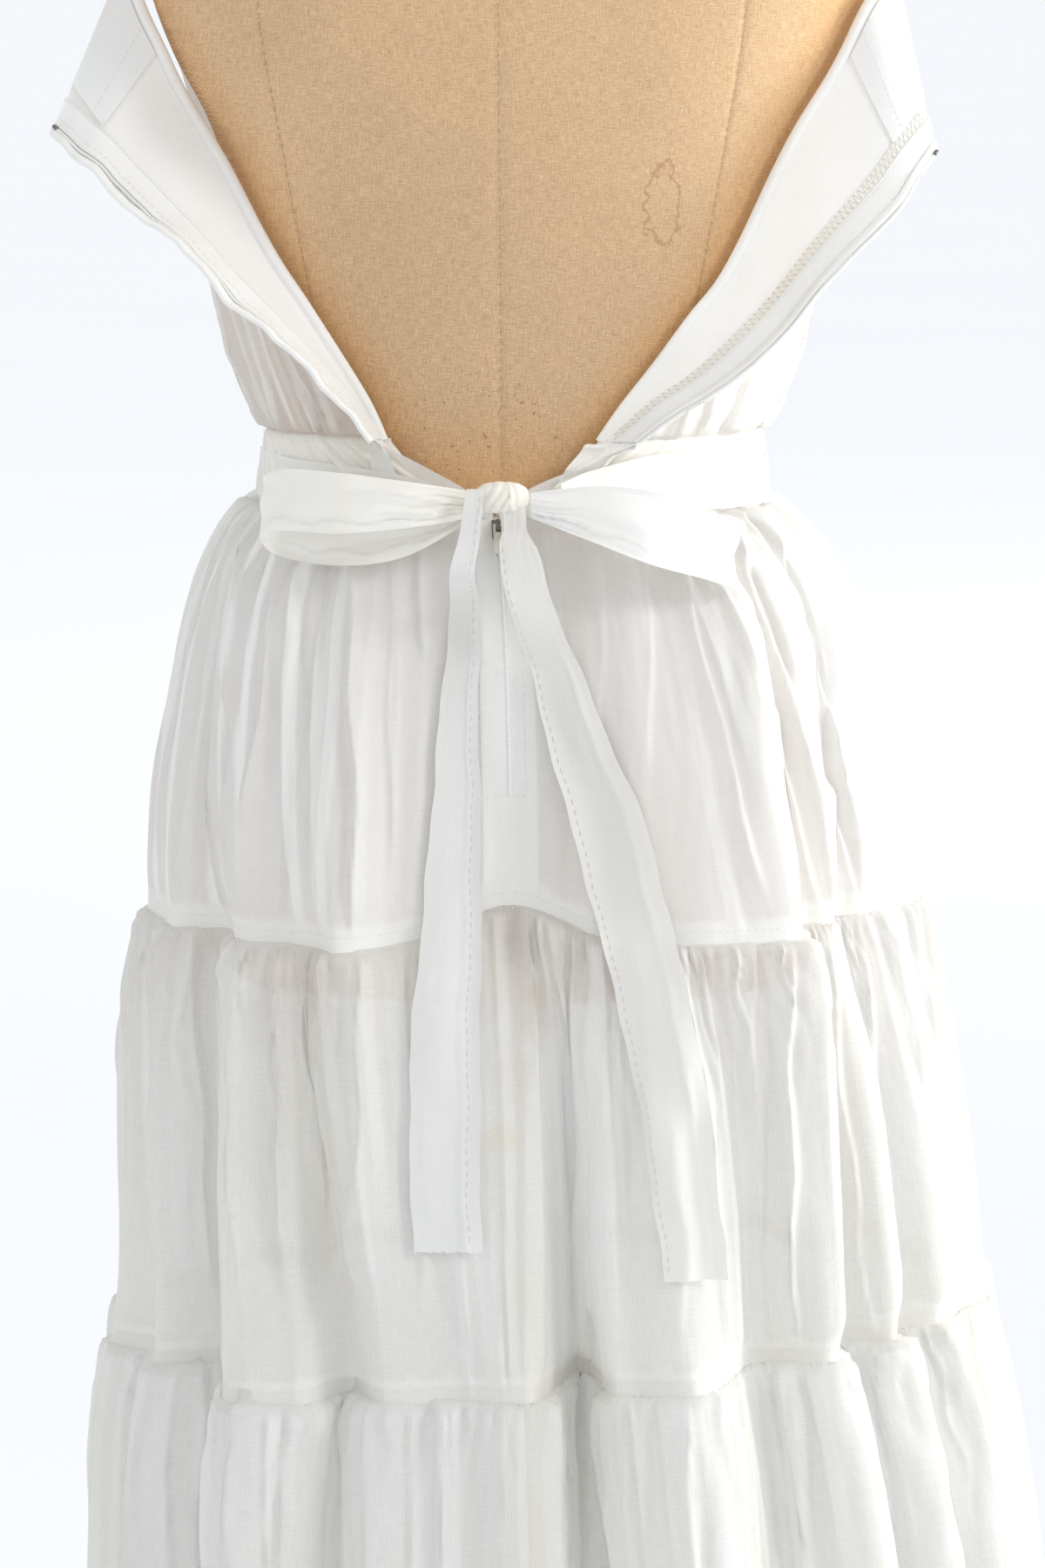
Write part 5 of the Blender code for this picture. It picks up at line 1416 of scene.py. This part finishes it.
def build_front():
    arms = np.array(ARMHOLE_FRONT)
    necks = np.array(NECK_FRONT)
    place = np.linspace(0, len(arms) - 1, 110)
    arm = points_at(place, np.arange(len(arms)), arms).T
    neck = points_at(place, np.arange(len(necks)), necks).T
    share = np.linspace(0, 1, 64)[None]
    angle = arm[1][:, None] + (neck[1] - arm[1])[:, None] * share
    height = arm[0][:, None] + (neck[0] - arm[0])[:, None] * share
    shares = share + 0 * angle
    relief = bodice_relief(shares, height, 71)
    left = lie(360 - angle, height, shares, relief)
    relief = bodice_relief(shares, height, 83)
    right = lie(180 + angle, height, shares, relief)
    grid = np.concatenate((left, right[:, ::-1][:, 1:]), axis=1)
    cloth("bodice_front_cloth", grid, "voile", ("bodice_front",),
          marks={"layers": 0.0, "stain_and_fold_shade": 0.0})


# ---------------------------------------------------------------- waistband, tie and bow
def band_sheet(name, angles_low, angles_high, seed, node):
    rows, columns = 26, len(angles_low)
    t = np.concatenate(((-0.04,), np.linspace(0, 1, rows - 2), (1.04,)))[:, None]
    angles = angles_low + (angles_high - angles_low) * t
    height = BAND_LOW + (BAND_HIGH - BAND_LOW) * t + 0 * angles
    base = form_point(angles, height, BAND_OUT)
    run = length_along(base[rows // 2])
    across = run + 0.5 * height
    swell = np.sin(math.pi * np.clip(t, 0, 1))
    relief = 0.22 * swell ** 0.6 + pleats(across, 1.0 + 0 * height, seed, 0.6, 0.20, 99.0)
    relief = relief * (0.3 + 0.7 * swell ** 0.5) - 0.3 * ((t < 0) | (t > 1))
    relief = relief + crumple(across, height, seed, 3.0, 0.02)
    grid = form_point(angles, height, BAND_OUT + relief)
    if name.startswith("waistband_back"):
        ending = ease(np.arange(columns), columns - 12, columns - 1)
        grid[..., 0] += 0.13 * np.sin(height[:, -1:] * 2.4) * ending
    cloth(name, grid, "cream", (node,), across=run,
          marks={"layers": 1.0, "stain_and_fold_shade": 0.04})


def build_band():
    for name, side, (low, high), seed in (("left", 1, BAND_END_LEFT, 31),
                                          ("right", -1, BAND_END_RIGHT, 37)):
        ends = [float(form_angle(x, h, BAND_OUT)) for x, h in ((low, BAND_LOW), (high, BAND_HIGH))]
        start = 0.0 if side > 0 else 180.0
        lines = [np.linspace(start, end, 150) for end in ends]
        band_sheet(f"waistband_back_{name}_cloth", *lines, seed, f"waistband_back_{name}")
    line = np.linspace(180.0, 360.0, 260)
    band_sheet("waistband_front_cloth", line, line, 41, "waistband_front")
    seam = []
    for low, high, side in ((0.5, float(form_angle(BAND_END_LEFT[1], BAND_HIGH, BAND_OUT)), 1),
                            (179.5, float(form_angle(BAND_END_RIGHT[1], BAND_HIGH, BAND_OUT)), -1),
                            (180.5, 359.5, 1)):
        angles = np.linspace(low, high, 160)
        line = form_point(angles, BAND_HIGH - 0.15, BAND_OUT + 0.2)
        seam += stitch_paths(line, 0.22, 0.12, 0.0, 5)
    tubes("waist_seam_stitches", seam, 0.017, 4, "thread", taper=True)


TIE_SIDE_LEFT = (  # angle, height of the middle, out from the form, half width
    (2.0, -0.35, 0.86, 1.10), (20.0, -0.35, 0.86, 1.10), (40.0, -0.45, 0.86, 1.05),
    (58.0, -0.55, 0.95, 1.00), (72.0, -0.75, 1.50, 0.90), (79.0, -0.90, 2.35, 0.80),
)


def build_ties():
    for name, side, path in (("left", 1, TIE_SIDE_LEFT), ("right", -1, TIE_PATH)):
        stations = spread(path, 120)
        angle, height, out, half = stations.T[:, :, None]
        t = np.linspace(1, -1, 22)[None]
        turn = angle if side > 0 else 180 - angle
        run = length_along(form_point(angle[:, 0], height[:, 0], out[:, 0]))
        strength = ease(run / run[-1], 0.2, 1.0)[:, None]
        across = t * half * 1.2 + 0 * angle
        relief = strength * 0.5 * pleats(across, 1.0 + 0 * across, 51 + side, 0.5, 0.22, 99.0)
        relief = relief + crumple(run[:, None] + 0 * t, across * 1.6, 57 + side, 3.4, 0.05)
        grid = form_point(turn + 0 * t, height + t * half, out + relief + 0.02)
        cloth(f"tie_{name}_cloth", grid, "tie_white" if side < 0 else "tie",
              (f"tie_{name}",), marks={"layers": 0.9, "stain_and_fold_shade": 0.0})


def build_knot():
    rows, columns = 46, 96
    centre = np.array(KNOT_CENTRE) + (0.0, 0.0, KNOT_RAISE)
    half = np.array(KNOT_HALF) * KNOT_SHRINK
    up = np.linspace(-math.pi / 2, math.pi / 2, rows)[:, None]
    turn = np.linspace(0, math.tau, columns + 1)[:-1][None]
    def power(value, p):
        return np.sign(value) * np.abs(value) ** p
    x = power(np.cos(turn), 0.9) * power(np.cos(up), 0.62)
    y = power(np.sin(turn), 0.9) * power(np.cos(up), 0.62)
    z = power(np.sin(up), 0.9) + 0 * turn
    lines = x * half[0] + 0.30 * z * np.sign(x + 0.3) + 0.12 * np.sin(z * 2.6)
    folds = pleats(lines, 1.0 + 0 * x, 61, 0.40, 0.30, 99.0, 0.6, 0.7)
    grow = 1 + (folds * 0.7 - 0.14)
    points = np.stack((x * half[0], y * half[1] * grow, z * half[2] * (1 + folds * 0.2)), axis=-1)
    points = points + centre
    thing = make_object("bow_knot_cloth", world(points.reshape(-1, 3)).tolist(),
                        quads(rows, columns, closed=True))
    weld_ends(thing)
    box_threads(thing)
    settle(thing, "cream", node=("bow_knot",))


def weld_ends(thing):
    work = bmesh.new()
    work.from_mesh(thing.data)
    bmesh.ops.remove_doubles(work, verts=work.verts, dist=1e-6)
    bmesh.ops.recalc_face_normals(work, faces=work.faces)
    work.to_mesh(thing.data)
    work.free()
    thing.data.polygons.foreach_set("use_smooth", [True] * len(thing.data.polygons))


def box_threads(thing):
    """Threads' lengths as UVs for a piece that isn't a grid: across and up."""
    mesh = thing.data
    points = np.empty(len(mesh.vertices) * 3, dtype=np.float32)
    mesh.vertices.foreach_get("co", points)
    points = points.reshape(-1, 3)
    set_threads(mesh, np.stack((points[:, 0] + points[:, 1] * 0.5, points[:, 2]), axis=-1))
    for mark, value in (("layers", 1.0), ("stain_and_fold_shade", 0.08)):
        set_mark(mesh, mark, np.full(len(points), value))


def loop_sheet(name, table, look, seed, node):
    rows = spread(table, 170)
    upper, lower = rows[:, :3], rows[:, 3:]
    t = np.linspace(0, 1, 30)[None, :, None]
    base = upper[:, None] + (lower - upper)[:, None] * t
    face = normals(base)
    run = length_along(base[:, 15])
    from_knot = np.minimum(run, run[-1] - run)[:, None]
    width = np.linalg.norm(lower - upper, axis=-1)[:, None]
    across = t[..., 0] * 3.6 + 0 * width
    relief = pleats(across, 0.6 + from_knot, seed, 0.42, 0.24, 3.5, 0.8)
    swaying = across + 0.2 * np.sin(run * 0.7)[:, None]
    relief = relief + pleats(swaying, 0.6 + from_knot, seed + 1, 1.3, 0.40, 8.0)
    relief = relief + crumple(run[:, None] + 0 * across, across * 2.0, seed + 2, 3.2, 0.08)
    relief = relief - 0.2
    edges = ease(np.minimum(t[..., 0], 1 - t[..., 0]), 0.0, 0.06)
    grid = base + face * (relief * (0.25 + 0.75 * edges) * ease(from_knot, -0.2, 0.8))[..., None]
    cloth(name, grid, look, (node,), marks={"layers": 0.95, "stain_and_fold_shade": 0.03})


TAIL_ROWS = 230
TAIL_COLUMNS = 22
LIFT_ROUNDS = 10
SMOOTH_ROUNDS = 24


def tail_sheet(name, table, look, seed, cover, node):
    """A hanging tail, resting on the cloth under it and smoothed where it bridges its hollows."""
    rows = spread(table, TAIL_ROWS)
    height, left, right, least = rows.T[:, :, None]
    t = np.linspace(0, 1, TAIL_COLUMNS)[None]
    run = length_along(np.concatenate((rows[:, 1:2], rows[:, 0:1]), axis=1))[:, None]
    wave = 0.05 * np.sin(run * 0.9 + seed) + 0.03 * np.sin(run * 2.1)
    x = left + (right - left) * t + wave
    heights = height + 0 * t
    under = cover.at(x, heights) + 0.14
    for _ in range(LIFT_ROUNDS):
        under = np.maximum(under, 0.25 * (np.roll(under, 1, 1) + np.roll(under, -1, 1)) + 0.5 * under)
        under[1:-1] = np.maximum(under[1:-1], 0.25 * (under[:-2] + under[2:]) + 0.5 * under[1:-1])
    width = np.abs(right - left)
    lying = ease(-height, 6.0, 12.0)
    y = np.maximum(under, least * (1 - lying) + under * lying)
    smooth_y = y.copy()
    for _ in range(SMOOTH_ROUNDS):
        smooth_y[1:-1] = 0.25 * (smooth_y[:-2] + smooth_y[2:]) + 0.5 * smooth_y[1:-1]
        smooth_y[:, 1:-1] = 0.25 * (smooth_y[:, :-2] + smooth_y[:, 2:]) + 0.5 * smooth_y[:, 1:-1]
        smooth_y = np.maximum(smooth_y, under - 0.02)
    near = np.exp(-run / 6.0)
    ridges = pleats(t * width * 1.4, 0.5 + run, seed, 0.6, 0.10, 3.0, 0.9)
    ridges = ridges + 0.35 * pleats(t * width * 1.1, 0.5 + run, seed + 5, 1.1, 0.22, 12.0)
    soft = crumple(t * width, run * 0.55, seed + 2, 3.0, 0.045) + 0.05
    step = 0.09 * np.exp(-((t - 0.74) / 0.05) ** 2) * ease(run, 4.0, 8.0)
    y = smooth_y + ridges * (0.1 + 0.9 * near ** 0.5) + soft + step
    grid = np.stack((x, y, heights), axis=-1)
    frayed = np.random.default_rng(seed).normal(0, 0.03, (1, TAIL_COLUMNS))
    grid[-1, :, 2] += frayed[0]
    # the tails' hem stitches, grey as painted shade for the hem's shadow line
    hem = grid[8:-2, 2 if look == "tail_cream" else -5] + (0.0, 0.025, 0.0)
    tubes(name.replace("cloth", "hem"), stitch_paths(hem, 0.30, 0.22, 0.01, seed), 0.022, 4,
          "hem_thread_painted_shade", taper=True)
    cloth(name, grid, look, (node,), marks={"layers": 0.95, "stain_and_fold_shade": 0.03})


def build_bow(cover):
    build_knot()
    loop_sheet("bow_loop_left_cloth", LOOP_LEFT, "tie", 65, "bow_loop_left")
    loop_sheet("bow_loop_right_cloth", LOOP_RIGHT, "tie_white", 69, "bow_loop_right")
    tail_sheet("bow_tail_left_cloth", TAIL_LEFT, "tail", 73, cover, "bow_tail_left")
    tail_sheet("bow_tail_right_cloth", TAIL_RIGHT, "tail_cream", 79, cover, "bow_tail_right")


# ---------------------------------------------------------------- the closed zip
def zip_line(heights, inward):
    """The centre back seam at these heights, a little under the cloth, and the way out of it."""
    spot = skirt_point(np.full(len(heights), float(CENTRE_BACK_FOLD)), heights)
    tangent = unit(np.gradient(spot, axis=0))
    out = np.cross(tangent, (1.0, 0.0, 0.0))
    out *= np.sign(out[:, 1:2])
    return spot - out * inward, out


COIL_IN = 0.03
CLOSED_IN = 0.2


def build_zip():
    heights = np.linspace(-1.75, ZIP_END, 90)
    spot, out = zip_line(heights, CLOSED_IN)
    t = np.linspace(-0.5, 0.5, 13)[None, :, None]
    grid = spot[:, None] + np.array((1.0, 0.0, 0.0)) * CLOSED_TAPE_WIDTH * t
    cloth("zip_tape_closed_weave", grid, "tape", ("zip_tape_closed",))
    line, out = zip_line(np.linspace(-2.9, ZIP_END + 0.4, 200), COIL_IN)
    paths = []
    for side in (-1, 1):
        shifted = line + np.array((0.06 * side, 0.0, 0.0))
        paths.append(coil_path(shifted, out.mean(axis=0), COIL_RADIUS))
    tubes("zip_coil_closed", paths, 0.036, 4, "nylon")
    tubes("zip_cord_closed", [line - out * 0.02], 0.10, 6, "nylon")


def build_stitching(grids):
    paths = []
    for grid, gap in ((grids[0, "back_left"][:, ::-1], 1.15), (grids[0, "back_right"], 0.65)):
        inner = grid[:, 0]
        row = np.argmax(np.linalg.norm(grid[30] - inner[30], axis=-1) > gap)
        line = grid[6:, row] + (0.0, 0.03, 0.0)
        line = line[line[:, 2] > -15.0]
        paths += stitch_paths(line, 0.24, 0.14, 0.02, 11)
        foot = grid[:, : row + 1]
        near = int(np.argmin(np.abs(foot[:, 0, 2] + 14.8)))
        paths += stitch_paths(foot[near] + (0.0, 0.03, 0.0), 0.24, 0.14, 0.02, 13)
    tubes("placket_stitches", paths, 0.017, 4, "thread", taper=True)
    paths = []
    for tier in range(3):
        for side, _, _ in PANELS:
            grid = grids[tier, side]
            row = grid[-3]
            face = outward(grid)[-3]
            paths += stitch_paths(row + face * 0.025, 0.22, 0.13, 0.015, 17)
    tubes("tier_seam_stitches", paths, 0.013, 4, "thread", taper=True)


def build_fray(grids):
    """Short cut threads standing out along the seams between the tiers."""
    draw = np.random.default_rng(91)
    paths = []
    for tier in (0, 1, 2):
        for side, _, _ in PANELS:
            row = grids[tier, side][-1]
            face = outward(grids[tier, side])[-1]
            for _ in range(int(len(row) * 1.3)):
                k = draw.integers(1, len(row) - 1)
                start = row[k] + face[k] * 0.02
                lean = (row[k + 1] - row[k - 1]) * draw.normal(0, 0.7)
                reach = lean + face[k] * draw.uniform(0.03, 0.14) + (0, 0, draw.uniform(-0.34, 0.0))
                paths.append([start, start + reach * 0.5 + face[k] * 0.03, start + reach])
    tubes("seam_fray", paths, 0.015, 3, "thread")


# ---------------------------------------------------------------- loose threads
LOOSE_THREAD_SPREAD = 0.35


def loose_thread(start, seed, length):
    draw = np.random.default_rng(seed)
    count = 26
    turn = np.cumsum(draw.normal(0, 0.45, count)) + draw.uniform(0, math.tau)
    step = length / count
    x = np.cumsum(np.cos(turn)) * step
    z = np.cumsum(np.sin(turn)) * step
    y = 0.06 + LOOSE_THREAD_SPREAD * 0.2 * np.abs(np.sin(np.linspace(0, 3.0, count)))
    return np.stack((start[0] + x, start[1] + y, start[2] + z), axis=-1)


def build_threads(right, left):
    corner = right["tape"][-1, 1]
    facing = right["facing"][0, -4]
    paths = [loose_thread(corner, 5, 2.0), loose_thread(corner, 8, 1.6), loose_thread(facing, 11, 1.4),
             loose_thread(right["facing"][int(len(right["facing"]) * 0.5), 2], 14, 0.9),
             loose_thread(left["facing"][0, -2], 17, 0.9)]
    tubes("loose_threads", paths, 0.011, 4, "thread", taper=True)


# ---------------------------------------------------------------- studio
CAMERA_PLACE = (-0.1988, 2.9934, 1.3372)
CAMERA_TURN = -3.7094
CAMERA_DROP = 8.3139
CAMERA_LENS = 139.6
FLOOR_REACH = 150.0
SKY_COLOUR = (0.97, 0.985, 1.0, 1.0)
SKY_STRENGTH = 0.86
SUN_STRENGTH = 0.85
SUN_ANGLE = 16.0
SUN_COLOUR = (1.0, 0.985, 0.96)
SUN_AIM = (2.3, -1.0, -1.5)


def build_camera():
    data = bpy.data.cameras.new("photo_angle")
    data.lens = CAMERA_LENS
    data.sensor_width = 36.0
    data.clip_end = 500.0
    camera = in_scene("photo_angle", data)
    turn, drop = math.radians(CAMERA_TURN), math.radians(CAMERA_DROP)
    look = Vector((-math.sin(turn) * math.cos(drop), -math.cos(turn) * math.cos(drop), -math.sin(drop)))
    camera.location = CAMERA_PLACE
    camera.rotation_euler = look.to_track_quat("-Z", "Y").to_euler()
    bpy.context.scene.camera = camera


def area_light(name, place, target, size, power, colour, beam):
    data = bpy.data.lights.new(name, "AREA")
    data.shape = "RECTANGLE"
    data.size, data.size_y = size
    data.energy = power
    data.color = colour
    data.spread = math.radians(beam)
    lamp = in_scene(name, data)
    lamp.location = place
    lamp.rotation_euler = (Vector(target) - Vector(place)).to_track_quat("-Z", "Y").to_euler()


def build_studio():
    points = [(FLOOR_REACH * x, FLOOR_REACH * y, 0.0) for x, y in ((-1, -1), (1, -1), (1, 1), (-1, 1))]
    floor = make_object("studio_floor", points, [(0, 1, 2, 3)], smooth=False)
    floor.data.materials.append(LOOKS["floor"])
    world_light = bpy.data.worlds.new("studio_light")
    world_light.use_nodes = True
    sky = world_light.node_tree.nodes["Background"]
    sky.inputs["Color"].default_value = SKY_COLOUR
    sky.inputs["Strength"].default_value = SKY_STRENGTH
    bpy.context.scene.world = world_light
    centre = (0.0, 0.0, 1.0)
    area_light("window_right", (-2.5, -0.3, 1.15), centre, (1.2, 1.6), 16.0, (1.0, 0.995, 0.98), 95.0)
    area_light("backdrop_wash", (-3.4, -7.0, 2.6), (-2.6, -7.0, 0.0), (2.5, 7.0), 26.0,
               (1.0, 1.0, 1.0), 150.0)
    data = bpy.data.lights.new("soft_sun", "SUN")
    data.energy = SUN_STRENGTH
    data.angle = math.radians(SUN_ANGLE)
    data.color = SUN_COLOUR
    lamp = in_scene("soft_sun", data)
    lamp.rotation_euler = Vector(SUN_AIM).to_track_quat("-Z", "Y").to_euler()
    bpy.context.scene.view_settings.view_transform = "Standard"


def build_all():
    build_torso()
    finish_nodes()
    grids = build_skirt()
    cover = Cover([grids[t, s] for t in range(3) for s in ("back_left", "back_right")])
    left = build_back("left", FLAP_LEFT, TAPE_LOW_LEFT, 1, 21)
    right = build_back("right", FLAP_RIGHT, TAPE_LOW_RIGHT, -1, 27)
    build_front()
    build_band()
    build_ties()
    build_bow(cover)
    build_zip()
    build_stitching(grids)
    build_fray(grids)
    build_threads(right, left)
    build_camera()
    build_studio()


build_all()
